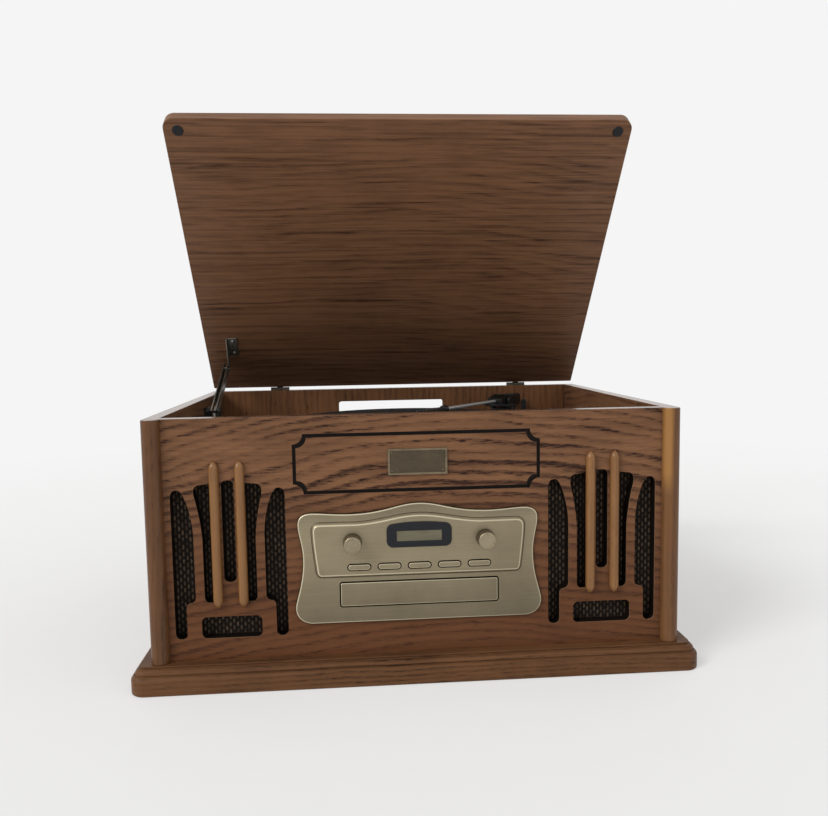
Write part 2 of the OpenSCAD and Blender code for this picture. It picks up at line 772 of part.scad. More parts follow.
module platter_bearing() {
    color("#b08d4a") translate([0, spin_y, 0]) difference() {
        union() {
            translate([0, 0, deck_z]) cylinder(r = 14, h = 2, $fn = 48);
            translate([0, 0, deck_z - 20]) cylinder(r = 8, h = 21, $fn = 48);
        }
        translate([0, 0, deck_z - 18]) cylinder(r = shaft + run_gap, h = 30, $fn = 48);
    }
}
module spindle() {
    tip = mat_z + 9;
    color(steel) translate([0, spin_y, 0]) {
        translate([0, 0, deck_z - 17.8]) cylinder(r = shaft, h = tip - 3 - deck_z + 17.8, $fn = 48);
        translate([0, 0, tip - 3]) cylinder(r1 = shaft, r2 = shaft - 1.6, h = 3, $fn = 48);
        translate([0, 0, deck_z + 2.3]) cylinder(r = 8, h = 1.2, $fn = 48);
    }
}
module platter() {
    top = mat_z - mat_t;
    r = mat_d / 2;
    color(steel) translate([0, spin_y, 0]) difference() {
        rotate_extrude($fn = 180) polygon([
            [shaft + run_gap, deck_z + 3.5], [12, deck_z + 3.5], [12, top - platter_t],
            [ring_r - 3, top - platter_t], [ring_r - 3, deck_z + 3.5], [ring_r, deck_z + 3.5],
            [ring_r, top - platter_t], [r - 4, top - platter_t], [r - 4, deck_z + 4], [r, deck_z + 4],
            [r + 0.8, deck_z + 5], [r + 0.8, top - 1], [r, top], [shaft + run_gap, top]
        ]);
        for (k = [0 : 5]) rotate([0, 0, 60 * k + 30]) translate([112, 0, top - platter_t - 1])
            cylinder(r = 12, h = platter_t + 2, $fn = 32);
    }
}
module platter_mat() {
    r = mat_d / 2;
    color(black) translate([0, spin_y, mat_z - mat_t]) difference() {
        cylinder(r = r, h = mat_t, $fn = 180);
        translate([0, 0, -1]) cylinder(r = shaft + 0.3, h = mat_t + 2, $fn = 48);
        translate([0, 0, mat_t - 0.6]) cylinder(r = 50, h = 1, $fn = 96);
        for (k = [0 : 4]) translate([0, 0, mat_t - 0.5]) difference() {
            cylinder(r = 72 + 16 * k, h = 1, $fn = 120);
            translate([0, 0, -1]) cylinder(r = 70 + 16 * k, h = 3, $fn = 120);
        }
    }
}
module deck_motor() {
    color(steel) translate([motor_x, motor_y, deck_z - deck_t]) difference() {
        union() {
            translate([0, 0, -28]) cylinder(r = 17, h = 25, $fn = 48);
            translate([0, 0, -3]) cylinder(r = 24, h = 3, $fn = 48);
        }
        translate([0, 0, -16]) cylinder(r = 1 + run_gap, h = 30, $fn = 24);
    }
}
module motor_pulley() {
    color("#b08d4a") translate([motor_x, motor_y, 0]) {
        translate([0, 0, deck_z - deck_t - 15]) cylinder(r = 1, h = deck_t + 19, $fn = 24);
        translate([0, 0, belt_z - 1.5]) cylinder(r = pulley_r, h = belt_h + 3, $fn = 48);
        translate([0, 0, belt_z - 2.5]) cylinder(r = pulley_r + 1.2, h = 1, $fn = 48);
        translate([0, 0, belt_z + belt_h + 1.5]) cylinder(r = pulley_r + 1.2, h = 1, $fn = 48);
    }
}
// The belt's loop, round the pulley and the platter's drive ring, at a distance g from both
module belt_loop(g) {
    turn = acos((ring_r - pulley_r) / motor_at);
    polygon(concat(
        [for (k = [0 : 48]) let (a = turn + (360 - 2 * turn) * k / 48)
            (ring_r + g) * [cos(a), sin(a)]],
        [for (k = [0 : 12]) let (a = -turn + 2 * turn * k / 12)
            [motor_at, 0] + (pulley_r + g) * [cos(a), sin(a)]]
    ));
}
module drive_belt() {
    color(black) translate([0, spin_y, belt_z]) rotate([0, 0, 225]) linear_extrude(belt_h) difference() {
        belt_loop(belt_gap + belt_t);
        belt_loop(belt_gap);
    }
}
module speed_knob() {
    color(black) translate([speed_x, adapter_y, 0]) {
        translate([0, 0, deck_z - deck_t - 4]) cylinder(r = shaft_r, h = deck_t + 5, $fn = 32);
        translate([0, 0, deck_z + 0.3]) cylinder(r = 12, h = 3, $fn = 48);
        intersection() {
            translate([0, 0, deck_z + 0.3]) cylinder(r = 11, h = 12, $fn = 48);
            translate([-11, -3, deck_z + 1]) cube([22, 6, 11]);
        }
    }
}
module single_adapter() {
    color(steel) translate([adapter_x, adapter_y, deck_z - 2]) difference() {
        union() {
            cylinder(r = adapter_r, h = 5, $fn = 64);
            cylinder(r1 = adapter_r - 1, r2 = adapter_r - 4, h = 8, $fn = 64);
        }
        translate([0, 0, -1]) cylinder(r = shaft + 0.2, h = 10, $fn = 48);
    }
}

// Tonearm, drawn along +X from its pivot
arm_raise = 1.15;
yoke_r = 4;
cheek = 10.5;
cheek_t = 2.8;
head_s = arm_l - 37;
head_l = arm_l + 23;
module arm_frame() {
    translate([arm_x, arm_y, arm_z]) rotate([0, 0, 270 - arm_swing]) children();
}
module arm_tilt() {
    arm_frame() rotate([0, -arm_raise, 0]) children();
}
module arm_base() {
    top = arm_z - 12;
    color(black) translate([arm_x, arm_y, 0]) difference() {
        union() {
            translate([0, 0, deck_z]) cylinder(r = 24, h = 4, $fn = 64);
            translate([0, 0, deck_z]) cylinder(r = 15, h = top - deck_z, $fn = 64);
        }
        translate([0, 0, deck_z - 1]) cylinder(r = yoke_r + run_gap, h = top - deck_z + 2, $fn = 48);
    }
}
module arm_yoke() {
    color(black) arm_frame() {
        translate([0, 0, -11.7]) cylinder(r = 14, h = 2.5, $fn = 64);
        translate([0, 0, -29]) cylinder(r = yoke_r, h = 18, $fn = 48);
        for (s = [0, 1]) mirror([0, s, 0]) difference() {
            union() {
                translate([-6, cheek, -9.4]) cube([12, cheek_t, 9.4]);
                translate([0, cheek, 0]) rotate([-90, 0, 0]) cylinder(r = 6, h = cheek_t, $fn = 48);
            }
            translate([0, cheek - 1, 0]) rotate([-90, 0, 0])
                cylinder(r = 1.5 + run_gap, h = cheek_t + 2, $fn = 32);
        }
    }
}
module tonearm() {
    color(black) arm_tilt() {
        translate([0, 10, 0]) rotate([90, 0, 0]) linear_extrude(20)
            polygon([[-20, -6.5], [16, -6.5], [22, -4], [22, 3.6], [2, 8], [-6, 8], [-20, 6]]);
        translate([0, 13.4, 0]) rotate([90, 0, 0]) cylinder(r = 1.5, h = 26.8, $fn = 32);
        translate([-46, 0, 0]) rotate([0, 90, 0]) cylinder(r = 4, h = 27, $fn = 32);
    }
    color(steel) arm_tilt() translate([22, 0, 0]) rotate([0, 90, 0])
        cylinder(r = tube_r, h = head_s - 22, $fn = 32);
}
module headshell() {
    color(black) arm_tilt() {
        translate([head_s, 0, 0]) rotate([0, 90, 0]) cylinder(r = 4.2, h = 9, $fn = 32);
        translate([0, 0, -2]) linear_extrude(4)
            polygon([[head_s + 6, -3.6], [head_s + 20, -8.5], [head_l - 5, -8.5], [head_l, -5],
                [head_l, 5], [head_l - 5, 8.5], [head_s + 20, 8.5], [head_s + 6, 3.6]]);
        translate([arm_l - 11, -6.5, -9.5]) cube([19, 13, 7.6]);
        translate([arm_l, 0, -12.6]) cylinder(r1 = 0.4, r2 = 1.6, h = 3.2, $fn = 24);
        translate([head_l - 4, -2, 1]) cube([2, 4, 1.4]);
        translate([head_l - 4, 0, 2.4]) rotate([0, 90, 0]) cylinder(r = 2, h = 2, $fn = 32);
    }
}
module counterweight() {
    color(black) arm_tilt() translate([-46, 0, 0]) rotate([0, 90, 0]) difference() {
        linear_extrude(22) round_rect(14.6, 17, 3);
        translate([0, 0, -1]) cylinder(r = 4 + run_gap, h = 24, $fn = 48);
    }
}
// The place above the deck at a distance s from the pivot, the arm being parked
arm_park = 9.5;
rest_s = arm_l - 50;
rest_x = arm_x + rest_s * sin(arm_park);
rest_y = arm_y - rest_s * cos(arm_park);
function arm_height(s) = arm_z + s * sin(arm_raise);
module arm_rest() {
    saddle = arm_height(rest_s) - tube_r - part_gap;
    color(black) translate([rest_x, rest_y, 0]) {
        translate([0, 0, deck_z]) cylinder(r = 8, h = 2, $fn = 48);
        translate([0, 0, deck_z]) cylinder(r = 5, h = saddle - 3 - deck_z, $fn = 48);
        translate([-8, -4, saddle - 3]) cube([17, 8, 3]);
        translate([tube_r + 1, -4, saddle - 3]) cube([5 - tube_r + 3, 8, 4.2]);
    }
}
cue_x = arm_x + 17.3;
cue_y = arm_y - 58;
cue_axis = deck_z + 6;
lift_s = 45;
lift_a = -arm_park - 0.5;
lift_x = arm_x - lift_s * sin(lift_a);
lift_y = arm_y - lift_s * cos(lift_a);
module cue_base() {
    color(black) {
        difference() {
            union() {
                box([cue_x - 14, cue_y - 7, deck_z], [cue_x + 8, lift_y + 6, deck_z + 2]);
                translate([lift_x, lift_y, deck_z]) cylinder(r = 6, h = 20, $fn = 48);
            }
            translate([lift_x, lift_y, deck_z + 3]) cylinder(r = 1.9 + run_gap, h = 20, $fn = 32);
        }
        for (s = [-1, 1]) translate([cue_x + s * 4.5, cue_y, 0]) {
            box([-1.1, -4, deck_z + 2], [1.1, 4, cue_axis]);
            translate([-1.1, 0, cue_axis]) rotate([0, 90, 0]) cylinder(r = 4, h = 2.2, $fn = 32);
        }
        translate([cue_x - 5, cue_y, cue_axis]) rotate([0, 90, 0]) cylinder(r = 1.2, h = 10, $fn = 24);
    }
}
module cue_lever() {
    w = 5.8;
    top = mat_z + 16;
    color(black) translate([cue_x, cue_y, 0]) difference() {
        union() {
            box([-w / 2, -1.5, cue_axis], [w / 2, 1.5, top - w / 2]);
            translate([0, 1.5, top - w / 2]) rotate([90, 0, 0]) cylinder(r = w / 2, h = 3, $fn = 32);
            translate([-w / 2, 0, cue_axis]) rotate([0, 90, 0]) cylinder(r = 3.2, h = w, $fn = 32);
        }
        translate([-w, 0, cue_axis]) rotate([0, 90, 0]) cylinder(r = 1.2 + run_gap, h = 2 * w, $fn = 24);
    }
}
module cue_platform() {
    top = arm_height(lift_s) - tube_r - part_gap;
    sweep = arm_swing + arm_park + 8;
    color(black) {
        translate([arm_x, arm_y, top - 2.4]) rotate([0, 0, 270 - arm_swing - 4])
            rotate_extrude(angle = sweep, $fn = 120) translate([lift_s - 2, 0]) square([4, 2.4]);
        translate([lift_x, lift_y, deck_z + 5]) cylinder(r = 1.9, h = top - 1.2 - deck_z - 5, $fn = 32);
    }
}

// Lid, drawn closed and then turned open about the hinge
hinge_y = yb + 3.6;
hinge_z = case_top + 0.6;
lid_rear = yb + part_gap;
lid_z = case_top + lid_gap;
lid_w = case_w - 2 * lid_in;
hinge_x = xs - hinge_in;
hinge_shift = 5;
leaf_t = 1.2;
knuckle_r = 2.8;
knuckle_w = hinge_w / 3;
hinge_pin_r = 1.25;
module lid_pose() {
    translate([0, hinge_y, hinge_z]) rotate([-lid_open, 0, 0]) translate([0, -hinge_y, -hinge_z]) children();
}
module lid() {
    front = yf - lid_over;
    color(wood) lid_pose() translate([0, 0, lid_z]) {
        box([-lid_w / 2, front + lid_corner, 0], [lid_w / 2, lid_rear, lid_t]);
        box([-lid_w / 2 + lid_corner, front, 0], [lid_w / 2 - lid_corner, front + lid_corner, lid_t]);
        for (s = [-1, 1]) translate([s * (lid_w / 2 - lid_corner), front + lid_corner, 0])
            cylinder(r = lid_corner, h = lid_t, $fn = 64);
    }
}
bumper_z = case_top + 0.3;
module lid_bumpers() {
    color(black) lid_pose() for (s = [-1, 1]) translate([s * (xi - 2.2), yf + 0.4, bumper_z])
        cylinder(r1 = bumper_r - 0.5, r2 = bumper_r, h = lid_z - bumper_z, $fn = 48);
}
module knuckle(x0, x1) {
    translate([x0, hinge_y, hinge_z]) rotate([0, 90, 0]) cylinder(r = knuckle_r, h = x1 - x0, $fn = 48);
}
module hinge_case_leaves() {
    color(steel) for (s = [-1, 1]) translate([s * hinge_x + hinge_shift, 0, 0]) {
        box([-hinge_w / 2, yb, case_top - 26], [hinge_w / 2, yb + leaf_t, hinge_z - knuckle_r - part_gap]);
        for (m = [0, 1]) mirror([m, 0, 0]) {
            box([knuckle_w / 2 + part_gap / 2, yb, case_top - 6], [hinge_w / 2, yb + leaf_t, hinge_z]);
            knuckle(knuckle_w / 2 + part_gap / 2, hinge_w / 2);
        }
        translate([-hinge_w / 2, hinge_y, hinge_z]) rotate([0, 90, 0])
            cylinder(r = hinge_pin_r, h = hinge_w, $fn = 32);
    }
}
module hinge_lid_leaves() {
    tongue = knuckle_w - part_gap;
    color(steel) lid_pose() for (s = [-1, 1]) translate([s * hinge_x + hinge_shift, 0, 0]) difference() {
        union() {
            box([-hinge_w / 2, lid_rear, lid_z + 2.4], [hinge_w / 2, lid_rear + leaf_t, lid_z + lid_t - 1]);
            box([-tongue / 2, lid_rear, hinge_z + 0.2], [tongue / 2, lid_rear + leaf_t, lid_z + 3]);
            knuckle(-tongue / 2, tongue / 2);
        }
        translate([-knuckle_w, hinge_y, hinge_z]) rotate([0, 90, 0])
            cylinder(r = hinge_pin_r + run_gap, h = 2 * knuckle_w, $fn = 32);
    }
}

// Lid stay: a channel that turns on the lid's bracket and slides over a pin on the left wall
stay_x = -xi + 11;
stay_a = 48;
stay_n = 12;
stay_w = 6.4;
stay_h = 13;
stay_sheet = 1.2;
stay_pin_r = 1.5;
rivet_r = 1.8;
pin_y = yb - 137;
pin_z = case_top - 15.6;
shut_y = lid_rear - stay_a;
shut_z = lid_z - stay_n;
rivet_y = hinge_y + (shut_y - hinge_y) * cos(lid_open) + (shut_z - hinge_z) * sin(lid_open);
rivet_z = hinge_z - (shut_y - hinge_y) * sin(lid_open) + (shut_z - hinge_z) * cos(lid_open);
stay_slope = atan2(rivet_z - pin_z, rivet_y - pin_y);
stay_open = norm([rivet_y - pin_y, rivet_z - pin_z]);
stay_shut = norm([shut_y - pin_y, shut_z - pin_z]);
slot_play = 3.7;
flange_x = stay_x + stay_w / 2 + part_gap;

module stay_lid_bracket() {
    plate = [60, 90];
    color(black) lid_pose() {
        box([flange_x, lid_rear - plate[1], lid_z - stay_sheet],
            [flange_x + 14, lid_rear - plate[0], lid_z]);
        translate([flange_x, lid_rear, lid_z]) rotate([90, 0, 90]) linear_extrude(stay_sheet) {
            polygon([[-plate[1], 0], [-plate[1], -4], [-stay_a - 6, -stay_n - 4], [-stay_a + 4, -stay_n - 2],
                [-stay_a + 4.5, -stay_n + 3], [-plate[0], 0]]);
            translate([-stay_a, -stay_n]) circle(5, $fn = 32);
        }
        translate([flange_x, shut_y, shut_z]) rotate([0, -90, 0])
            cylinder(r = rivet_r, h = part_gap + stay_w - 1, $fn = 32);
    }
}
module stay_arm() {
    w = stay_w / 2;
    h = stay_h / 2;
    tail = stay_open + 8;
    color(steel) translate([stay_x, rivet_y, rivet_z]) rotate([stay_slope, 0, 0]) difference() {
        box([-w, -tail, -h], [w, 7, h]);
        box([-w + stay_sheet, -tail - 1, -h + stay_sheet], [w - stay_sheet, 8, h + 1]);
        box([-w - 1, -stay_open - stay_pin_r - part_gap, -stay_pin_r - slot_play],
            [w + 1, -stay_shut + stay_pin_r + 3 * part_gap, stay_pin_r + slot_play]);
        translate([-w - 1, 0, 0]) rotate([0, 90, 0])
            cylinder(r = rivet_r + run_gap, h = stay_w + 2, $fn = 32);
    }
}
module stay_wall_bracket() {
    cheek_r = 5.5;
    near = stay_x - stay_w / 2 - 1;
    far = stay_x + stay_w / 2 + 1.2;
    foot = pin_z - 20;
    color(black) translate([0, pin_y, 0]) {
        box([-xi, -10, foot], [-xi + 3, 10, pin_z + 5]);
        for (x = [[-xi + 3, near], [far, far + 2.8]]) {
            box([x[0], -cheek_r, foot], [x[1], cheek_r, pin_z]);
            translate([x[0], 0, pin_z]) rotate([0, 90, 0]) cylinder(r = cheek_r, h = x[1] - x[0], $fn = 32);
        }
        box([-xi, -cheek_r, foot], [far + 2.8, cheek_r, foot + 3]);
        translate([-xi, 0, pin_z]) rotate([0, 90, 0])
            cylinder(r = stay_pin_r, h = far + 2.8 + xi, $fn = 32);
    }
}

plinth();
bottom_board();
left_side();
right_side();
front_board();
back_board();
corner_posts();
grille_bars();
grille_cloths();
speaker_frames();
speaker_magnets();
left_cone();
right_cone();
name_plate();
front_plate();
display_bezel();
display_window();
control_board();
volume_knob();
tuning_knob();
button_1();
button_2();
button_3();
button_4();
button_5();
drawer_front();
disc_tray();
loader_base();
loader_cover();
disc_hub();
main_board();
transformer();
socket_panel();
deck_rails();
deck_board();
platter_bearing();
deck_motor();
motor_pulley();
drive_belt();
spindle();
platter();
platter_mat();
speed_knob();
single_adapter();
arm_base();
arm_yoke();
tonearm();
headshell();
counterweight();
arm_rest();
cue_base();
cue_lever();
cue_platform();
lid();
lid_bumpers();
hinge_case_leaves();
hinge_lid_leaves();
stay_lid_bracket();
stay_arm();
stay_wall_bracket();
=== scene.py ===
# %% [markdown]
# # A wooden music center, dressed in Blender
# The CAD model gives every solid its exact shape and place. This script adds what the
# eye reads as real: oak and walnut grain, brushed bronze, grille cloth, screws, soft
# edges, light and a floor. Each step is one cell, with a note before it. Lengths are in
# metres: x runs to the right, y to the back and z up, and the front board faces -y.

import bpy
import bmesh
import json
from math import cos, pi, radians, sin
from mathutils import Matrix, Vector

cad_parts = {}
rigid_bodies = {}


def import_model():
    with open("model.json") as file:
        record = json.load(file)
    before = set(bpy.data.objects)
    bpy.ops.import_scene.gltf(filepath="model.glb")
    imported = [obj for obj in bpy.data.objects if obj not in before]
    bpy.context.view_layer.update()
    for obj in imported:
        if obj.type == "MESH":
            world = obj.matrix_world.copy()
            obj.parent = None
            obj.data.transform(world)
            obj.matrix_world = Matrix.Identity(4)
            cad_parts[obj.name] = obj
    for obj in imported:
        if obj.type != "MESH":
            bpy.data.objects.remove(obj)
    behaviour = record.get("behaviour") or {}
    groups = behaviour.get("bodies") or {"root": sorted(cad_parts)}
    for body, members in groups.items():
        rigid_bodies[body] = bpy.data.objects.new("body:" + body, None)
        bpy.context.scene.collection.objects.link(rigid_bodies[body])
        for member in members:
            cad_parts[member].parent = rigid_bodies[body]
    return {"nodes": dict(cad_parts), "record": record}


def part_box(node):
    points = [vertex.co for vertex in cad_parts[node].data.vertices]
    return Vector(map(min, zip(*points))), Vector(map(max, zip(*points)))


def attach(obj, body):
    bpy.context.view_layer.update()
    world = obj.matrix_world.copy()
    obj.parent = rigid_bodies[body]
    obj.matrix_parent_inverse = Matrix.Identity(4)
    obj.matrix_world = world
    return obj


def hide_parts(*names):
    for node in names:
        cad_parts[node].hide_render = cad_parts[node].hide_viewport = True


for thing in list(bpy.data.objects):
    bpy.data.objects.remove(thing)
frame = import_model()
nodes = frame["nodes"]
joints = {joint["name"]: joint for joint in frame["record"]["behaviour"]["joints"]}
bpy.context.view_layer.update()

# %% [markdown]
# Colours are easier to judge as screen values from 0 to 255, but shaders work in linear
# light. This helper turns one into the other, so a colour renders about as it is written.

# %% A colour helper
def tone(red, green, blue):
    def linear(c):
        c /= 255
        return c / 12.92 if c <= 0.04045 else ((c + 0.055) / 1.055) ** 2.4
    return (linear(red), linear(green), linear(blue), 1.0)


print("walnut in linear light", [round(c, 3) for c in tone(128, 90, 64)])

# %% [markdown]
# A material is a small network of nodes that ends in one shader. This class keeps the
# later cells short. One part of it adds nodes and joins their sockets by name. The other
# part names the few steps that every finish here is made of: a noise stretched along an
# axis, a span that maps one range of values to another, a ramp, a mix and a bump. A
# number that is the same all over a surface goes straight to the shader's own socket.

# %% Helpers for material networks
class Finish:
    def __init__(self, name):
        self.material = bpy.data.materials.new(name)
        self.material.use_nodes = True
        self.tree = self.material.node_tree
        self.shader = self.tree.nodes["Principled BSDF"]
        self.place = self.add("ShaderNodeTexCoord").outputs["Object"]

    def add(self, kind, settings=None, **sockets):
        node = self.tree.nodes.new(kind)
        for key, value in (settings or {}).items():
            setattr(node, key, value)
        for key, value in sockets.items():
            self.put(node.inputs[key.replace("_", " ")], value)
        return node

    def put(self, socket, value):
        if isinstance(value, bpy.types.NodeSocket):
            self.tree.links.new(value, socket)
        else:
            socket.default_value = value

    def set(self, **sockets):
        for key, value in sockets.items():
            self.put(self.shader.inputs[key.replace("_", " ")], value)

    def math(self, operation, a, b=0.0, clamp=False):
        node = self.add("ShaderNodeMath", {"operation": operation, "use_clamp": clamp})
        self.put(node.inputs[0], a)
        self.put(node.inputs[1], b)
        return node.outputs[0]

    def times(self, value, *others):
        for other in others:
            value = self.math("MULTIPLY", value, other)
        return value

    def plus(self, value, *others):
        for other in others:
            value = self.math("ADD", value, other)
        return value

    def vector(self, operation, a, b=(0, 0, 0)):
        node = self.add("ShaderNodeVectorMath", {"operation": operation})
        self.put(node.inputs[0], a)
        self.put(node.inputs[1], b)
        return node.outputs["Value" if operation in ("LENGTH", "DOT_PRODUCT") else "Vector"]

    def split(self, vector):
        parts = self.add("ShaderNodeSeparateXYZ", Vector=vector)
        return parts.outputs[0], parts.outputs[1], parts.outputs[2]

    def mark(self, name):
        return self.add("ShaderNodeAttribute", {"attribute_name": name}).outputs["Fac"]

    def noise(self, scale, detail=2.0, source=None, rough=0.5):
        stretched = self.vector("MULTIPLY", source or self.place, scale)
        node = self.add("ShaderNodeTexNoise", Vector=stretched, Scale=1.0, Detail=detail, Roughness=rough)
        return node.outputs["Fac"]

    def span(self, value, low, high, to_low=0.0, to_high=1.0):
        node = self.add("ShaderNodeMapRange", Value=value)
        for key, number in zip(("From Min", "From Max", "To Min", "To Max"),
                               (low, high, to_low, to_high)):
            node.inputs[key].default_value = number
        return node.outputs["Result"]

    def ramp(self, value, *stops):
        node = self.add("ShaderNodeValToRGB", Fac=value)
        band = node.color_ramp
        band.elements.remove(band.elements[1])
        band.elements[0].position = stops[0][0]
        for at, _ in stops[1:]:
            band.elements.new(at)
        for element, (_, shade) in zip(band.elements, stops):
            element.color = shade if isinstance(shade, tuple) else (shade, shade, shade, 1)
        return node.outputs["Color"]

    def mix(self, amount, a, b, blend="MIX"):
        node = self.add("ShaderNodeMix", {"data_type": "RGBA", "blend_type": blend})
        for socket, value in zip((node.inputs[0], node.inputs[6], node.inputs[7]), (amount, a, b)):
            self.put(socket, value)
        return node.outputs[2]

    def bump(self, height, distance, strength=1.0):
        node = self.add("ShaderNodeBump", Height=height, Distance=distance, Strength=strength)
        self.put(self.shader.inputs["Normal"], node.outputs["Normal"])


print("a Finish can", [step for step in vars(Finish) if not step.startswith("_")])

# %% [markdown]
# The photograph was taken from a little above the front's middle, slightly to the left.
# The camera's place and turn were solved from corners of the case and the lid.

# %% Camera
CAMERA_PLACE = (-0.05622, -0.90585, 0.32374)
YAW, PITCH, ROLL = 0.0744658934, -0.0922297758, 0.0165496849
LENS_MM, SENSOR_MM = 34.153, 36


def set_camera():
    lens = bpy.data.cameras.new("camera")
    lens.sensor_width = SENSOR_MM
    lens.lens = LENS_MM
    lens.clip_start, lens.clip_end = 0.02, 50
    camera = bpy.data.objects.new("camera", lens)
    bpy.context.scene.collection.objects.link(camera)
    forward = Vector((sin(YAW) * cos(PITCH), cos(YAW) * cos(PITCH), sin(PITCH)))
    right = Vector((cos(YAW), -sin(YAW), 0))
    down = forward.cross(right)
    side = cos(ROLL) * right + sin(ROLL) * down
    up = sin(ROLL) * right - cos(ROLL) * down
    turn = Matrix((side, up, -forward)).transposed().to_4x4()
    camera.matrix_world = Matrix.Translation(CAMERA_PLACE) @ turn
    bpy.context.scene.camera = camera


set_camera()
bpy.context.scene.view_settings.view_transform = "Standard"
print("camera at", tuple(round(c, 3) for c in bpy.context.scene.camera.location))

# %% [markdown]
# A plain studio needs three things: an even pale surround, one soft sun from the upper
# left, and a weaker one from the right that opens the shadows. Strong light would make
# the background white but also wash out the wood. So the camera and the reflections see
# the surround as near-white paper, while the light that it sheds on the object is weaker.

# %% Surround and lamps
PAPER = tone(245, 245, 245)
SURROUND_LIGHT = 0.54
AIM = (0, 0, 0.1)


def set_surround():
    world = bpy.data.worlds.new("surround")
    bpy.context.scene.world = world
    world.use_nodes = True
    tree = world.node_tree
    tree.nodes.clear()
    path = tree.nodes.new("ShaderNodeLightPath")
    shiny = tree.nodes.new("ShaderNodeMath")
    shiny.operation = "MAXIMUM"
    tree.links.new(path.outputs["Is Glossy Ray"], shiny.inputs[0])
    tree.links.new(path.outputs["Is Transmission Ray"], shiny.inputs[1])
    seen = tree.nodes.new("ShaderNodeMath")
    seen.operation = "MAXIMUM"
    tree.links.new(path.outputs["Is Camera Ray"], seen.inputs[0])
    tree.links.new(shiny.outputs[0], seen.inputs[1])
    light = tree.nodes.new("ShaderNodeBackground")
    light.inputs["Color"].default_value = (1, 1, 1, 1)
    light.inputs["Strength"].default_value = SURROUND_LIGHT
    paper = tree.nodes.new("ShaderNodeBackground")
    paper.inputs["Color"].default_value = PAPER
    either = tree.nodes.new("ShaderNodeMixShader")
    for source, socket in zip((seen, light, paper), either.inputs):
        tree.links.new(source.outputs[0], socket)
    out = tree.nodes.new("ShaderNodeOutputWorld")
    tree.links.new(either.outputs[0], out.inputs["Surface"])


def add_sun(name, place, power, spread_degrees):
    sun = bpy.data.lights.new(name, "SUN")
    sun.energy = power
    sun.angle = radians(spread_degrees)
    holder = bpy.data.objects.new(name, sun)
    bpy.context.scene.collection.objects.link(holder)
    holder.location = place
    holder.rotation_euler = (Vector(AIM) - Vector(place)).to_track_quat("-Z", "Y").to_euler()


set_surround()
add_sun("key", (-2.3, -1.7, 2.1), power=1.6, spread_degrees=26)
add_sun("fill", (1.8, -1.4, 1.2), power=0.25, spread_degrees=60)

# %% [markdown]
# The floor is a wide disc of pale paper. Near the object it takes shadows as paper does.
# Further out it turns by degrees into the colour of the surround, so no horizon shows.

# %% Floor
FLOOR_RADIUS = 9
FADE_NEAR, FADE_FAR = 0.4, 1.7
GLOW_NEAR, GLOW_FAR = 0.42, 1.0


def make_floor():
    mesh = bpy.data.meshes.new("floor")
    shape = bmesh.new()
    bmesh.ops.create_circle(shape, cap_ends=True, segments=96, radius=FLOOR_RADIUS)
    shape.to_mesh(mesh)
    shape.free()
    floor = bpy.data.objects.new("floor", mesh)
    bpy.context.scene.collection.objects.link(floor)
    look = Finish("floor_paper")
    away = look.vector("LENGTH", look.vector("MULTIPLY", look.place, (1, 1, 0)))
    fade = look.span(away, FADE_NEAR, FADE_FAR, GLOW_NEAR, GLOW_FAR)
    path = look.add("ShaderNodeLightPath").outputs
    seen = look.math("MAXIMUM", path["Is Glossy Ray"], path["Is Transmission Ray"])
    seen = look.math("MAXIMUM", seen, path["Is Camera Ray"])
    glow = look.add("ShaderNodeEmission", Color=PAPER)
    flecks = look.noise((40, 40, 40), 3)
    look.set(Base_Color=look.mix(flecks, tone(247, 247, 245), tone(250, 250, 248)),
             Roughness=0.9, Specular_IOR_Level=0.1)
    both = look.add("ShaderNodeMixShader")
    sources = (look.times(fade, seen), look.shader.outputs[0], glow.outputs[0])
    for source, socket in zip(sources, both.inputs):
        look.put(socket, source)
    look.put(look.tree.nodes["Material Output"].inputs["Surface"], both.outputs[0])
    mesh.materials.append(look.material)


make_floor()
print("floor radius", FLOOR_RADIUS, "m")

# %% [markdown]
# Flat-sawn oak shows the log's growth rings as long dark streaks that swing over in wide
# arches. A board is cut across rings that lie nearly flat in it, so the material bends
# the board's own height into an arch, stirs it with slow noise, and divides it by the
# width of a ring. The late part of each ring is dark, each ring by its own amount, and a
# streak fades and comes back along the board.

# %% Growth rings
TURNS = {"x": (0, 0, 0), "y": (0, 0, -pi / 2), "z": (0, pi / 2, 0)}
LATE_WOOD = ((0.0, 0.0), (0.3, 0.08), (0.6, 0.6), (0.76, 1.0), (0.9, 0.6), (1.0, 0.0))
SLANT_ACROSS = 0.25
SLOW_WAVES, SHORT_WAVES, FRAY = (2.4, 7, 7), (9, 30, 30), (75, 420, 420)
FADES_ACROSS = 34


def bent_rings(look, turned, shifted, ring, bow, apex, tilt, wander, ragged):
    along, across, up = look.split(turned)
    off = look.math("SUBTRACT", along, apex)
    arch = look.times(off, off, bow)
    height = look.plus(up, arch, look.times(along, tilt), look.times(across, SLANT_ACROSS))
    for scale, rough, amount in ((SLOW_WAVES, 0.5, wander), (SHORT_WAVES, 0.5, 0.15 * wander),
                                 (FRAY, 0.75, ragged)):
        stir = look.math("SUBTRACT", look.noise(scale, 3, shifted, rough), 0.5)
        height = look.plus(height, look.times(stir, amount))
    return look.math("DIVIDE", height, ring)


def dark_streaks(look, rings, shifted, fade):
    late = look.ramp(look.math("FRACT", rings), *LATE_WOOD)
    slow = look.noise((fade, FADES_ACROSS, FADES_ACROSS), 3, shifted)
    strong = look.span(slow, 0.32, 0.56, 0.3, 1.0)
    number = look.math("FLOOR", rings)
    own = look.add("ShaderNodeTexWhiteNoise", {"noise_dimensions": "1D"}, W=number).outputs["Value"]
    return look.times(late, strong, look.span(own, 0.0, 1.0, 0.45, 1.0))


print("grain can run along", list(TURNS))

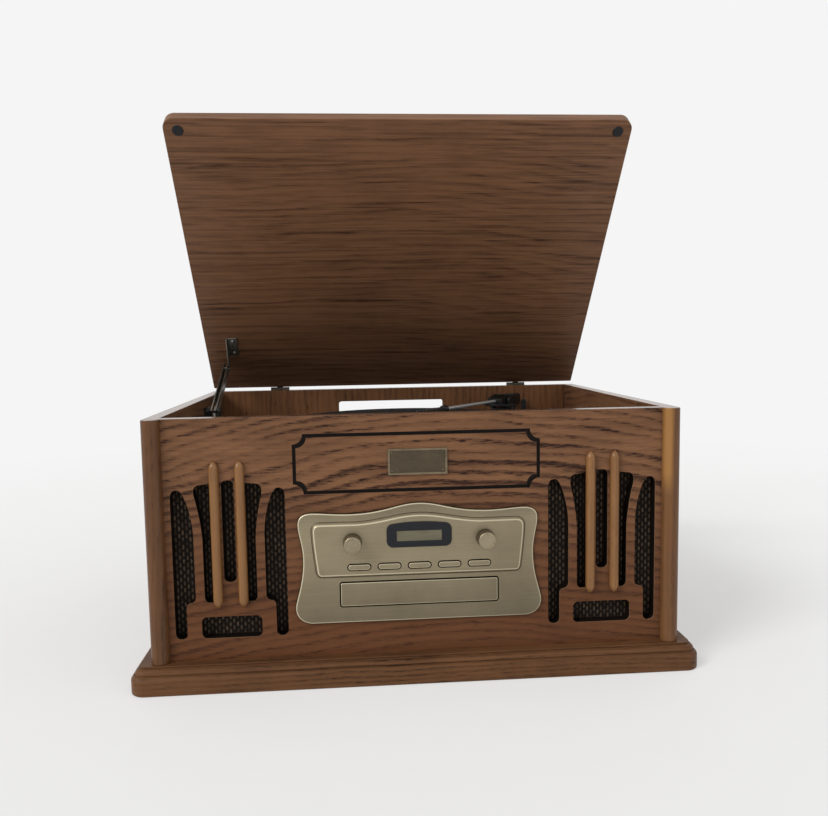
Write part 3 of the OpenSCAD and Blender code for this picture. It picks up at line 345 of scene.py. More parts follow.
# %% [markdown]
# A whole wood adds what lies between the streaks: open pores, which are short dashes and
# sit mostly in the dark streaks, fine fibres, and slow mottling. The words that follow a
# wood's colours say how it was cut: along which axis, and from which part of the log.
# `ring` is a ring's width, `bow` and `apex` shape the arch, `tilt` runs the grain off the
# edge, `wander` bends it and `ragged` frays it. `streaks` and `lines` are the strength of
# the dark streaks and of the fibres. `dash` and `fade` say how soon pores and streaks end,
# so a small number makes them long. The top edges of the case carry more lacquer and shine
# at a low angle.

# %% Wood
CASE_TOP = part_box("left_side")[1][2]
TOP_BAND = (0.0006, 0.0003)
PORES_ACROSS, FIBRES, CLOUDS = 700, (7, 360, 360), (10, 24, 24)
STREAK_SHARE, PORE_SHARE, MOTTLE = 0.6, 0.5, (-0.1, 0.34)
MID_AT, DARK_AT = 0.35, 0.8
PORE_DEPTH = 0.00012


def wood(name, light, dark, grain, centre, ring, bow=0.0, apex=0.0, tilt=0.0, streaks=0.85, gloss=0.46,
         wander=0.06, lines=0.16, polish=0.0, top_polish=0.9, ragged=0.0042, dash=95, fade=5, extra=None):
    look = Finish(name)
    turned = look.add("ShaderNodeMapping", Vector=look.place, Rotation=TURNS[grain]).outputs[0]
    shifted = look.add("ShaderNodeMapping", Vector=turned, Location=centre).outputs[0]
    rings = bent_rings(look, turned, shifted, ring, bow, apex, tilt, wander, ragged)
    streak = dark_streaks(look, rings, shifted, fade)
    dashes = look.noise((dash, PORES_ACROSS, PORES_ACROSS), 2, shifted, 0.6)
    pores = look.times(look.span(dashes, 0.5, 0.64), look.span(streak, 0.05, 0.5, 0.12, 1.0))
    fibre = look.noise(FIBRES, 5, shifted, 0.7)
    mottled = look.noise(CLOUDS, 5, shifted, 0.68)
    depth = look.plus(look.times(streak, STREAK_SHARE * streaks), look.times(pores, PORE_SHARE * streaks),
                      look.span(fibre, 0.3, 0.7, -lines, lines))
    depth = look.math("ADD", depth, look.span(mottled, 0.3, 0.7, *MOTTLE), clamp=True)
    mid = tuple(0.6 * a + 0.4 * b for a, b in zip(light, dark))
    deep = tuple(0.6 * c for c in dark[:3]) + (1,)
    colour = look.ramp(depth, (0.0, light), (MID_AT, mid), (DARK_AT, dark), (1.0, deep))
    if extra:
        colour = extra(look, colour)
    z = look.split(look.place)[2]
    on_top = look.span(z, CASE_TOP - TOP_BAND[0], CASE_TOP - TOP_BAND[1], 0.0, top_polish)
    look.set(Base_Color=colour, Roughness=look.span(fibre, 0.2, 0.8, gloss - 0.08, gloss + 0.1),
             Coat_Weight=look.math("MAXIMUM", polish, on_top), Coat_Roughness=0.2, Specular_IOR_Level=0.12)
    look.bump(look.plus(look.times(depth, -0.5), look.times(pores, -1)), PORE_DEPTH, 0.4)
    return look.material


print("the case's top edges lie at", round(CASE_TOP, 4))

# %% [markdown]
# The front board has a scribed border: a rectangle whose corners are scooped out, drawn as
# a shallow groove and painted black. The paint follows the same outline and spills over
# it by a hair. The walls of the grille openings are dark too, so that only the cloth
# shows between the strips, and their sharp rims carry a painted highlight. From the
# border down the board is darker, partly its own stain and partly painted shade, with a
# calmer figure.

# %% Paint, stain, painted highlight and painted shade on the front board
face_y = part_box("front_board")[0][1]
BORDER_HALF, BORDER_Z, BORDER_SCOOP, BORDER_LINE = (0.115, 0.0276), 0.2072, 0.0096, 0.0023
PAINT_SPILL, PAINT_DEPTH = 0.0005, 0.004
CALM_Z, STAIN_AND_SHADE_Z = (0.19, 0.15), (0.19, 0.07)
GRILLE_TOP, GRILLE_INNER_X = 0.2, 0.12
WALL_DEPTHS, RIM_HIGHLIGHT_DEPTHS = (0.0006, 0.0011), (0.00001, 0.0001)


def scooped(look, x, z, shrink):
    half_x, half_z = BORDER_HALF[0] - shrink, BORDER_HALF[1] - shrink
    right = look.math("SUBTRACT", look.math("ABSOLUTE", x), half_x)
    above = look.math("SUBTRACT", look.math("ABSOLUTE", look.math("SUBTRACT", z, BORDER_Z)), half_z)
    corner = look.vector("LENGTH", look.add("ShaderNodeCombineXYZ", X=right, Y=above).outputs[0])
    inside = look.math("LESS_THAN", look.math("MAXIMUM", right, above), 0.0)
    return look.times(inside, look.math("GREATER_THAN", corner, BORDER_SCOOP))


def behind(look, y, front, depths, most=1.0):
    return look.span(y, front + depths[0], front + depths[1], 0.0, most)


def painted_front(look, colour):
    x, y, z = look.split(look.place)
    colour = look.mix(look.span(z, *CALM_Z, 0.0, 0.45), colour, tone(114, 79, 56))
    # Darker towards the bottom: partly the board's own stain, partly painted shade.
    colour = look.mix(look.span(z, *STAIN_AND_SHADE_Z), colour, tone(222, 206, 191), "MULTIPLY")
    outer = scooped(look, x, z, -PAINT_SPILL)
    inner = scooped(look, x, z, BORDER_LINE + PAINT_SPILL)
    line = look.times(look.math("SUBTRACT", outer, inner, clamp=True),
                      look.math("LESS_THAN", y, face_y + PAINT_DEPTH))
    low = look.math("LESS_THAN", z, GRILLE_TOP)
    beside = look.math("GREATER_THAN", look.math("ABSOLUTE", x), GRILLE_INNER_X)
    # The sharp rims of the openings get a painted highlight.
    rim = look.times(behind(look, y, face_y, RIM_HIGHLIGHT_DEPTHS), 0.7, low)
    wall = look.times(behind(look, y, face_y, WALL_DEPTHS), low, beside)
    colour = look.mix(rim, colour, tone(176, 140, 108))
    return look.mix(look.math("MAXIMUM", line, wall), colour, tone(22, 16, 12))


print("the front board's face lies at y", round(face_y, 4))

# %% [markdown]
# Three more pieces carry painted light and shade. The right corner post has a painted
# golden highlight in a band on its front, strongest above the grille. The half-round bars
# carry painted shade down their flanks, where they meet the board. The lid has painted
# shade towards its hinges. Each mark is a span over the piece's own place, so it stays put
# when the lid moves.

# %% Painted highlight and shade on the posts, bars and lid
bar_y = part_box("grille_bars")[0][1]
HIGHLIGHT_LEFT, HIGHLIGHT_RIGHT, HIGHLIGHT_Z = (0.2318, 0.2345), (0.2425, 0.2385), (0.168, 0.19)
BAR_CROWN = 0.35
LID_SHADE_Z = (0.262, 0.37)


def highlit_post(look, colour):
    x, y, z = look.split(look.place)
    # A painted highlight: a golden band on the post's front, broken by blotches.
    blotches = look.span(look.noise((60, 60, 12), 3), 0.3, 0.6, 0.6, 1.0)
    post_highlight = look.times(look.span(x, *HIGHLIGHT_LEFT), look.span(x, *HIGHLIGHT_RIGHT),
                      look.span(z, *HIGHLIGHT_Z, 0.1, 0.8), blotches)
    return look.mix(post_highlight, colour, tone(164, 118, 64))


def shaded_bar_flanks(look, colour):
    y = look.split(look.place)[1]
    flank = bar_y + BAR_CROWN * (face_y - bar_y)
    # Painted shade down the bar's flanks, near the board.
    return look.mix(look.span(y, flank, face_y, 0.0, 0.6), colour, tone(84, 50, 30))


def shaded_lid(look, colour):
    z = look.split(look.place)[2]
    # Painted shade towards the lid's hinges.
    return look.mix(look.span(z, *LID_SHADE_Z, 0.45, 0.0), colour, tone(30, 19, 12))


print("the bars stand", round(1000 * (face_y - bar_y), 2), "mm proud")

# %% [markdown]
# The case and the front are oak, with a bold figure on the front board. The lid is a
# finer walnut with long quiet lines. The bars are a lacquered golden beech, and the
# boards inside are pale and plain.

# %% The woods of this cabinet
OAK, OAK_DARK = tone(129, 91, 64), tone(57, 35, 26)
front_oak = wood("front_oak", OAK, OAK_DARK, "x", (0.3, 0, 0), ring=0.0088, bow=0.5, apex=0.03,
                 streaks=1.25, extra=painted_front)
side_oak = wood("side_oak", OAK, OAK_DARK, "y", (0.1, 0, 0.7), ring=0.009, bow=0.25, tilt=0.04)
back_oak = wood("back_oak", tone(118, 80, 52), tone(60, 38, 25), "z", (0.5, 0, 0.5), ring=0.008,
                bow=0.5, apex=0.28, streaks=0.6, gloss=0.55)
plinth_oak = wood("plinth_oak", tone(106, 72, 46), tone(50, 31, 19), "x", (0.9, 0, 0.4), ring=0.005,
                  bow=0.1, apex=0.1, tilt=0.02, streaks=0.6, gloss=0.4, wander=0.03)
post_oak = wood("post_oak", tone(106, 71, 44), tone(58, 36, 22), "z", (0.2, 0, 0.1), ring=0.005,
                bow=0.05, apex=0.1, tilt=0.02, streaks=0.5, gloss=0.4, wander=0.03, polish=0.25,
                extra=highlit_post)
lid_walnut = wood("lid_walnut", tone(128, 90, 64), tone(70, 46, 32), "x", (0.7, 0, 0.2), ring=0.0062,
                  bow=0.08, apex=-0.12, streaks=0.55, gloss=0.5, wander=0.05, lines=0.42,
                  top_polish=0.12, ragged=0.001, dash=24, fade=2.2, extra=shaded_lid)
bar_beech = wood("bar_beech", tone(139, 97, 56), tone(84, 53, 29), "z", (0.3, 0, 0.3), ring=0.004,
                 tilt=0.01, streaks=0.35, gloss=0.3, wander=0.01, lines=0.1, polish=0.5,
                 extra=shaded_bar_flanks)
inner_board = wood("inner_board", tone(150, 122, 92), tone(118, 90, 64), "x", (0, 0, 0.9), ring=0.012,
                   tilt=0.03, streaks=0.4, gloss=0.6)
print("eight woods, of which the front board's has", len(front_oak.node_tree.nodes), "nodes")

# %% [markdown]
# The plate, knobs and buttons are brass plated to a worn antique bronze, brushed from
# side to side. Long thin noise along x breaks the gloss into fine lines, a slow noise
# tarnishes it in clouds, and fine specks are left dull. Painted steel, plastic and rubber
# need less: a fine grain in the gloss and the bump, and a slow change of tone.

# %% Metals and coatings
SPECKS = (420, 420, 420)
SPECK_DULL, LINE_SHARE, CLOUD_SHARE = 0.35, 0.55, 0.45


def metal(name, bright, dull, gloss, brush, cloud, relief=0.00004, metallic=1.0, wear_and_shade=None):
    look = Finish(name)
    lines = look.noise(brush, 4, rough=0.7)
    clouds = look.noise((cloud, cloud, cloud), 4, rough=0.6)
    specks = look.span(look.noise(SPECKS, 2), 0.68, 0.8, 0.0, SPECK_DULL)
    clean = look.plus(look.span(lines, 0.25, 0.75, 0.0, LINE_SHARE),
                      look.span(clouds, 0.3, 0.7, 0.0, CLOUD_SHARE))
    clean = look.math("SUBTRACT", clean, specks, clamp=True)
    colour = look.mix(clean, dull, bright)
    if wear_and_shade:
        colour = wear_and_shade(look, colour)
    look.set(Base_Color=colour, Metallic=metallic,
             Roughness=look.span(lines, 0.2, 0.8, gloss + 0.12, gloss - 0.08))
    look.bump(lines, relief, 0.4)
    return look.material


def coating(name, base, other, gloss, grain=(300, 300, 300), relief=0.00003, spread=9):
    look = Finish(name)
    fine = look.noise(grain, 3)
    cloud = look.noise((spread, spread, spread), 3)
    blend = look.plus(look.times(fine, 0.5), look.times(cloud, 0.5))
    look.set(Base_Color=look.mix(look.span(blend, 0.35, 0.65), base, other), Specular_IOR_Level=0.3,
             Roughness=look.span(fine, 0.3, 0.7, gloss - 0.05, gloss + 0.08))
    look.bump(fine, relief, 0.5)
    return look.material


print("two kinds of finish: metal and coating")

# %% [markdown]
# Old bronze is dark where polish never reaches; here that dark is also painted shade in
# the gaps and at the foot of every rim. The brow of every rim carries a painted highlight,
# strongest at the upper left. The pieces made below store both as marks on their faces,
# `patina` and `rubbed`, and the bronze reads them. Painted shade also darkens
# the plate towards its top and its foot and away from its upper left. A knob's side
# carries painted shade, the sunk field of the name plate is dark as well, and the block at
# the tonearm's pivot is painted black while its tube is bright.

# %% Wear, painted shade and painted highlight on the metals
SHADE_FOOT, SHADE_TOP, DEEPEST_SHADE = (0.05, 0.115), (0.15, 0.172), 0.6
RISE_SHARE, SHADE_AWAY, HIGHLIGHT_AWAY = 0.8, (-0.22, 0.06), (-0.2, 0.05)
KNOB_SIDE_SHADE, NAME_FIELD = (0.001, 0.0016), (0.0001, 0.0005)
ARM_BLOCK = 0.0225


def bronze_wear_and_shade(look, colour):
    x, y, z = look.split(look.place)
    away = look.math("SUBTRACT", x, look.times(z, RISE_SHARE))
    # Painted shade: the plate darker towards its top and foot and away from its upper left.
    plate_shade = look.times(look.span(away, *SHADE_AWAY, 1.0, 0.86), look.span(z, *SHADE_FOOT, DEEPEST_SHADE, 1.0),
                     look.span(z, *SHADE_TOP, 1.0, DEEPEST_SHADE))
    colour = look.mix(1.0, colour, look.ramp(plate_shade, (0.0, 0.0), (1.0, 1.0)), "MULTIPLY")
    # Painted highlight on each rim's brow, strongest at the upper left.
    rub = look.times(look.mark("rubbed"), look.span(away, *HIGHLIGHT_AWAY, 0.85, 0.45))
    colour = look.mix(rub, colour, tone(216, 205, 176))
    # Patina and painted shade at the outlines and in the gaps.
    return look.mix(look.span(look.mark("patina"), 0.1, 0.75, 0.0, 0.95), colour, tone(38, 29, 18))


def dark_behind(node, depths, dark):
    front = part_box(node)[0][1]

    def darken(look, colour):
        y = look.split(look.place)[1]
        return look.mix(behind(look, y, front, depths, 0.75), colour, dark)
    return darken


def black_block(look, colour):
    pivot = joints["arm_lift"]
    outwards = Vector((0, 0, 1)).cross(Vector(pivot["axis"]))
    from_pivot = look.vector("SUBTRACT", look.place, tuple(pivot["pos_m"]))
    along_arm = look.vector("DOT_PRODUCT", from_pivot, tuple(outwards))
    return look.mix(look.math("LESS_THAN", along_arm, ARM_BLOCK), colour, tone(24, 25, 24))


print("the arm's pivot is at", [round(c, 3) for c in joints["arm_lift"]["pos_m"]])

# %% [markdown]
# Now the finishes themselves. Each metal has its bright and its dull tone, its gloss, the
# way its brush lines run, and the grain of its clouds.

# %% The metals of this player
bronze = metal("brushed_bronze", tone(166, 153, 126), tone(128, 116, 93), 0.38, (14, 2600, 2600), 16,
               metallic=0.75, wear_and_shade=bronze_wear_and_shade)
plaque_bronze = metal("plaque_bronze", tone(142, 127, 103), tone(94, 83, 66), 0.5, (90, 260, 260), 60,
                      relief=0.0001, metallic=0.8,
                      wear_and_shade=dark_behind("name_plate", NAME_FIELD, tone(66, 58, 46)))
# The knob's side is darkened as painted shade.
knob_bronze = metal("knob_bronze", tone(168, 156, 130), tone(134, 122, 98), 0.3, (500, 60, 500), 30,
                    metallic=0.8, wear_and_shade=dark_behind("volume_knob", KNOB_SIDE_SHADE, tone(66, 56, 40)))
bearing_brass = metal("bearing_brass", tone(214, 180, 108), tone(170, 138, 74), 0.3, (400, 400, 60), 30)
hinge_brass = metal("hinge_brass", tone(92, 86, 76), tone(52, 48, 42), 0.45, (500, 30, 500), 40)
steel = metal("rolled_steel", tone(190, 190, 188), tone(150, 150, 150), 0.4, (12, 700, 700), 20)
arm_steel = metal("arm_steel", tone(206, 204, 200), tone(168, 166, 162), 0.3, (700, 700, 700), 20,
                  metallic=0.5, wear_and_shade=black_block)
stay_steel = metal("stay_steel", tone(176, 172, 164), tone(132, 128, 122), 0.35, (500, 500, 40), 30)
motor_steel = metal("motor_steel", tone(170, 168, 162), tone(128, 126, 122), 0.45, (60, 60, 700), 30)
platter_alloy = metal("platter_alloy", tone(204, 204, 202), tone(172, 172, 172), 0.36, (300, 300, 60), 20)
print("the tonearm's steel has", len(arm_steel.node_tree.nodes), "nodes")

# %% [markdown]
# The dark parts differ mostly in gloss and grain: a satin deck, a smooth tonearm, matt
# rubber, soft paper cones and green circuit boards.

# %% The coatings of this player
black_plastic = coating("black_plastic", tone(30, 29, 28), tone(38, 37, 36), 0.45)
stay_black = coating("stay_black", tone(26, 25, 25), tone(36, 35, 34), 0.38)
bezel_black = coating("bezel_black", tone(15, 17, 22), tone(20, 22, 28), 0.38)
arm_black = coating("arm_black", tone(24, 24, 25), tone(34, 34, 36), 0.3)
speaker_steel = coating("speaker_steel", tone(44, 44, 46), tone(56, 56, 58), 0.5)
belt_rubber = coating("belt_rubber", tone(26, 25, 24), tone(34, 32, 31), 0.7)
bumper_rubber = coating("bumper_rubber", tone(20, 20, 22), tone(28, 28, 31), 0.5)
deck_black = coating("deck_black", tone(34, 32, 31), tone(44, 42, 40), 0.55, (900, 900, 900), 0.00006)
mat_rubber = coating("mat_rubber", tone(22, 21, 21), tone(30, 29, 28), 0.75, (700, 700, 700), 0.00008)
magnet_iron = coating("magnet_iron", tone(52, 50, 48), tone(66, 62, 58), 0.7, (500, 500, 500), 0.00008)
cone_paper = coating("cone_paper", tone(36, 34, 33), tone(52, 50, 48), 0.85, (260, 260, 260), 0.0002, 40)
circuit_green = coating("circuit_green", tone(36, 84, 52), tone(46, 98, 62), 0.35, (200, 200, 200),
                        0.00004, 60)
print("materials so far:", len(bpy.data.materials))

# %% [markdown]
# The display is a small liquid crystal window: a grey-green back under clear glass. A
# faint grid of unlit segments would carry figures, so it stays plain, with a soft shade.

# %% Display glass
def display_glass():
    look = Finish("display_glass")
    cloud = look.noise((60, 60, 160), 3)
    fine = look.noise((900, 900, 900), 2)
    look.set(Base_Color=look.mix(look.span(cloud, 0.3, 0.7), tone(92, 86, 68), tone(108, 101, 80)),
             Roughness=look.span(fine, 0.2, 0.8, 0.12, 0.2), Specular_IOR_Level=0.2,
             Coat_Weight=0.4, Coat_Roughness=0.03)
    return look.material


lcd = display_glass()
print("display finish", lcd.name)

# %% [markdown]
# Every CAD node keeps its shape where that is right and only takes a better material.
# The table says which one, so no node is left with the plain colour it came with. Only
# the cloth's solid has no row, because two woven sheets stand for it further down.

# %% A finish for each node
FINISHES = {
    "front_board": front_oak, "left_side": side_oak, "right_side": side_oak, "back_board": back_oak,
    "plinth": plinth_oak, "corner_posts": post_oak, "lid": lid_walnut, "grille_bars": bar_beech,
    "bottom_board": inner_board, "deck_rails": inner_board, "name_plate": plaque_bronze,
    "front_plate": bronze, "drawer_front": bronze, "volume_knob": knob_bronze, "tuning_knob": knob_bronze,
    "display_bezel": bezel_black, "display_window": lcd, "control_board": circuit_green,
    "main_board": circuit_green, "transformer": motor_steel, "socket_panel": black_plastic,
    "speaker_frames": speaker_steel, "speaker_magnets": magnet_iron, "left_cone": cone_paper,
    "right_cone": cone_paper, "disc_tray": black_plastic, "loader_base": black_plastic,
    "loader_cover": steel, "disc_hub": black_plastic, "deck_board": deck_black,
    "platter_bearing": bearing_brass, "spindle": steel, "platter": platter_alloy,
    "platter_mat": mat_rubber, "deck_motor": motor_steel, "motor_pulley": bearing_brass,
    "drive_belt": belt_rubber, "speed_knob": black_plastic, "single_adapter": black_plastic,
    "arm_base": arm_black, "arm_yoke": arm_black, "tonearm": arm_steel, "headshell": arm_black,
    "counterweight": arm_black, "arm_rest": arm_black, "cue_base": arm_black, "cue_lever": arm_black,
    "cue_platform": arm_black, "lid_bumpers": bumper_rubber, "hinge_case_leaves": hinge_brass,
    "hinge_lid_leaves": hinge_brass, "stay_lid_bracket": stay_steel, "stay_arm": stay_steel,
    "stay_wall_bracket": stay_black,
}
BUTTONS = [f"button_{number}" for number in range(1, 6)]
FINISHES.update({button: bronze for button in BUTTONS})
for name, finish in FINISHES.items():
    nodes[name].data.materials.clear()
    nodes[name].data.materials.append(finish)
print("nodes without a finish:", [name for name in nodes if name not in FINISHES])

# %% [markdown]
# Every new piece is entered in the same way: its mesh gets a finish, and the object rides
# on the CAD body that it belongs to. The record says which body each CAD node has.

# %% Entering a piece
body_of = {node: body for body, group in frame["record"]["behaviour"]["bodies"].items() for node in group}


def plain(name, shape):
    mesh = bpy.data.meshes.new(name)
    shape.to_mesh(mesh)
    shape.free()
    piece = bpy.data.objects.new(name, mesh)
    bpy.context.scene.collection.objects.link(piece)
    return piece


def show(name, shape, finish, body):
    piece = plain(name, shape)
    piece.data.materials.append(finish)
    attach(piece, body)
    return piece


# %% [markdown]
# Nothing made of wood or cast metal has knife edges: a machine or a sanding block takes
# them off, and the narrow round catches the light. A CAD node keeps its sharp edges, so
# most visible ones get a copy with its loose triangles merged, its edges rounded by a
# Bevel modifier and smooth shading between. The copy rides on the node's body and stands
# for it.

# %% Soft-edged copies
WELD = 2e-6
SHARP = 35
SOFT_MM = {
    "lid": 1.0, "left_side": 0.8, "right_side": 0.8, "front_board": 0.5, "back_board": 0.8,
    "corner_posts": 0.6, "plinth": 0.5, "grille_bars": 0.3, "volume_knob": 0.35, "tuning_knob": 0.35,
    "lid_bumpers": 0.3, "hinge_case_leaves": 0.3, "hinge_lid_leaves": 0.3, "stay_lid_bracket": 0.3,
    "stay_arm": 0.25, "stay_wall_bracket": 0.4, "arm_base": 0.5, "arm_yoke": 0.5, "tonearm": 0.4,
    "headshell": 0.4, "counterweight": 0.6, "arm_rest": 0.4, "cue_base": 0.4, "cue_lever": 0.4,
    "cue_platform": 0.3, "platter": 0.5, "platter_mat": 0.4, "speed_knob": 0.4, "single_adapter": 0.4,
    "spindle": 0.3, "disc_tray": 0.4, "socket_panel": 0.3, "deck_board": 0.3, "name_plate": 0.25,
}


def merged(node):
    shape = bmesh.new()
    shape.from_mesh(nodes[node].data)
    bmesh.ops.remove_doubles(shape, verts=shape.verts, dist=WELD)
    return shape


def shade(shape, angle):
    for face in shape.faces:
        face.smooth = True
    for edge in shape.edges:
        edge.smooth = len(edge.link_faces) == 2 and edge.calc_face_angle(0) < radians(angle)


def soften(piece, width, angle):
    edges = piece.modifiers.new("soft_edges", "BEVEL")
    edges.width = width
    edges.segments = 2
    edges.limit_method = "ANGLE"
    edges.angle_limit = radians(angle)
    edges.harden_normals = True
    edges.miter_outer = "MITER_ARC"


for node, width in SOFT_MM.items():
    shape = merged(node)
    bmesh.ops.dissolve_limit(shape, angle_limit=radians(0.5), verts=shape.verts, edges=shape.edges)
    shade(shape, SHARP)
    piece = show("soft_" + node, shape, FINISHES[node], body_of[node])
    soften(piece, 0.001 * width, SHARP)
    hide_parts(node)
print("soft-edged copies:", len(SOFT_MM))

# %% [markdown]
# The plate, its buttons and the drawer's front have outlines that only the CAD solid
# knows. A section through the solid gives them as loops of edges, the outer one first and
# the holes after it.

# %% Outlines from a section
LOOP_WELD = 2e-5
OUTLINE, HOLES = slice(0, 1), slice(1, None)


def section(node, depth):
    shape = merged(node)
    bmesh.ops.bisect_plane(shape, geom=shape.verts[:] + shape.edges[:] + shape.faces[:], dist=1e-7,
                           plane_co=(0, depth, 0), plane_no=(0, 1, 0), clear_inner=True, clear_outer=True)
    bmesh.ops.remove_doubles(shape, verts=shape.verts, dist=LOOP_WELD)
    bmesh.ops.dissolve_limit(shape, angle_limit=radians(0.2), verts=shape.verts, edges=shape.edges)
    return shape


def reach(loop):
    across = [v.co.x for edge in loop for v in edge.verts]
    return max(across) - min(across)


def loops_of(shape):
    seen, loops = set(), []
    for edge in shape.edges:
        if edge in seen:
            continue
        loop, front = [], [edge]
        while front:
            here = front.pop()
            if here not in seen:
                seen.add(here)
                loop.append(here)
                front.extend(e for v in here.verts for e in v.link_edges)
        loops.append(loop)
    return sorted(loops, key=reach, reverse=True)


plate_cut = face_y - 0.0008
print("loops in the front plate:", len(loops_of(section("front_plate", plate_cut))))

# %% [markdown]
# A casting is raised from such loops. They are filled and extruded, and the front is inset
# and raised again in a few strides, which turns the loop's fine steps into one smooth
# roll. Each face remembers how near it lies to its outline, and the bronze is darkest
# there, with patina and painted shade. The last two strides lead on to the flat: that
# brow is marked for a painted highlight. An inset by hand would do the same, but here one
# list of strides shapes every rim.

# %% Raising a casting
PATINA_SHADE_WIDTH = 0.0009
BROW_STRIDES = 2
ROLL_STEPS = 5


def raised(node, cut, chosen, back, strides):
    shape = section(node, cut)
    loops = loops_of(shape)[chosen]
    patina = shape.faces.layers.float.new("patina")
    rubbed = shape.faces.layers.float.new("rubbed")
    kept = {edge for loop in loops for edge in loop}
    caps = [bmesh.ops.contextual_create(shape, geom=loop)["faces"][0] for loop in loops]
    bmesh.ops.delete(shape, geom=[e for e in shape.edges if e not in kept], context="EDGES")
    for vert in shape.verts:
        vert.co.y = back
    for cap in caps:
        cap.normal_update()
        if cap.normal.y < 0:
            cap.normal_flip()
    new = bmesh.ops.extrude_face_region(shape, geom=caps)["geom"]
    fronts = [f for f in new if isinstance(f, bmesh.types.BMFace)]
    for face in shape.faces:
        face[patina] = 0.0 if face in fronts else 1.0
    inset, depth = strides[0]
    for vert in {v for f in fronts for v in f.verts}:
        vert.co.y = depth
    bmesh.ops.recalc_face_normals(shape, faces=shape.faces)
    for stride, (next_inset, next_depth) in enumerate(strides[1:], 1):
        on_brow = stride >= len(strides) - BROW_STRIDES
        ring = bmesh.ops.inset_region(shape, faces=fronts, thickness=next_inset - inset,
                                      depth=depth - next_depth, use_even_offset=True)["faces"]
        # Near the outline a face gets patina and painted shade; the brow gets a painted highlight.
        for face in ring:
            face[patina] = 0.0 if on_brow else max(0.0, 1 - 0.5 * (inset + next_inset) / PATINA_SHADE_WIDTH)
            face[rubbed] = 1.0 if on_brow else 0.0
        inset, depth = next_inset, next_depth
    return shape


def roll(front, radius):
    turns = [0.5 * pi * i / ROLL_STEPS for i in range(ROLL_STEPS + 1)]
    return [(radius * (1 - cos(t)), front + radius * (1 - sin(t))) for t in turns]


print("a roll of 1 mm:", [(round(1000 * a, 2), round(1000 * b, 2)) for a, b in roll(0, 0.001)])

# %% [markdown]
# Two solids become one, or one cuts the other, through a Boolean modifier. Its result is
# kept as the piece's mesh at once, so the other solid can go, and then the edges that
# should stay crisp are marked afresh.

# %% Joining and cutting
def combine(piece, other, operation):
    change = piece.modifiers.new(operation.lower(), "BOOLEAN")
    change.operation = operation
    change.solver = "EXACT"
    change.object = other
    ready = piece.evaluated_get(bpy.context.evaluated_depsgraph_get())
    mesh = bpy.data.meshes.new_from_object(ready)
    piece.modifiers.clear()
    piece.data = mesh
    bpy.data.objects.remove(other)


def reshade(piece, angle=32):
    shape = bmesh.new()
    shape.from_mesh(piece.data)
    shade(shape, angle)
    shape.to_mesh(piece.data)
    shape.free()


panel_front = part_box("front_plate")[0][1]
plate_front = 0.5 * (panel_front + face_y)
print("plate front", round(plate_front, 4), "panel front", round(panel_front, 4))

# %% [markdown]
# The plate's rim is rolled over 1.6 mm. Its panel rises from it on a slope with a soft
# brow: each pair in the list says how far in from the outline and how high above the plate.
# The holes for the display, knobs, buttons and drawer are cut last, right through.

# %% Cast plate
PANEL_SLOPE = ((0.0, 0.0002), (0.0004, 0.0006), (0.0009, 0.0011), (0.0016, 0.0021), (0.0019, 0.0024),
               (0.0022, 0.0027), (0.0027, 0.0029))
PANEL_INSET, PLATE_ROLL = 0.0034, 0.0016


def cast_plate():
    rim = raised("front_plate", plate_cut, OUTLINE, face_y, roll(plate_front, PLATE_ROLL))
    plate = show("cast_plate", rim, bronze, "case")
    slope = [(inset, plate_front - rise) for inset, rise in PANEL_SLOPE] + [(PANEL_INSET, panel_front)]
    panel = raised("front_plate", plate_front - 0.0003, OUTLINE, plate_front + 0.001, slope)
    combine(plate, plain("panel", panel), "UNION")
    holes = raised("front_plate", plate_cut, HOLES, face_y + 0.001, [(0.0, panel_front - 0.002)])
    combine(plate, plain("holes", holes), "DIFFERENCE")
    reshade(plate)
    soften(plate, width=0.00025, angle=40)
    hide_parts("front_plate")
    return plate


print("cast plate faces", len(cast_plate().data.polygons))

# %% [markdown]
# The buttons, the drawer's front and the display's bezel are cast in the same way, each
# with a small rolled edge. The bezel also has its window cut out.

# %% Buttons, drawer and bezel
def rolled(node, cut, radius):
    low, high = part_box(node)
    shape = raised(node, cut, OUTLINE, high[1], roll(low[1], radius))
    piece = show("rolled_" + node, shape, FINISHES[node], body_of[node])
    reshade(piece)
    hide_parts(node)
    return piece


for button in BUTTONS:
    rolled(button, cut=face_y - 0.002, radius=0.0008)
rolled("drawer_front", cut=face_y - 0.001, radius=0.0009)
bezel_cut = panel_front - 0.0004
bezel = rolled("display_bezel", cut=bezel_cut, radius=0.0007)
window = raised("display_bezel", bezel_cut, HOLES, panel_front + 0.001, [(0.0, panel_front - 0.004)])
combine(bezel, plain("window", window), "DIFFERENCE")
reshade(bezel)
soften(bezel, width=0.0003, angle=50)
print("bezel faces", len(bezel.data.polygons))

# %% [markdown]
# The grille cloth is a near-black jacquard: a tight weave with raised slubs like grains
# of rice, in staggered columns. Threads in both directions are two stretched noises, and
# the slubs are lighter, because their loose yarn catches more light.

# %% Cloth finish
def cloth_finish():
    look = Finish("grille_weave")
    warp = look.noise((1500, 1500, 220), 2)
    weft = look.noise((220, 1500, 1500), 2)
    thread = look.math("MAXIMUM", warp, weft)
    loose = look.times(look.mark("slub"), 0.75)
    tint = look.math("ADD", loose, look.span(thread, 0.45, 0.75, 0.0, 0.4), clamp=True)
    tint = look.times(tint, look.span(look.noise((260, 260, 130), 2), 0.35, 0.65, 0.5, 1.0))
    shades = look.ramp(tint, (0.0, tone(20, 16, 13)), (0.4, tone(40, 32, 26)), (1.0, tone(112, 93, 76)))
    look.set(Base_Color=shades, Roughness=0.85, Specular_IOR_Level=0.15)
    look.bump(thread, 0.0002, 0.6)
    return look.material


weave = cloth_finish()
print("cloth finish", weave.name)

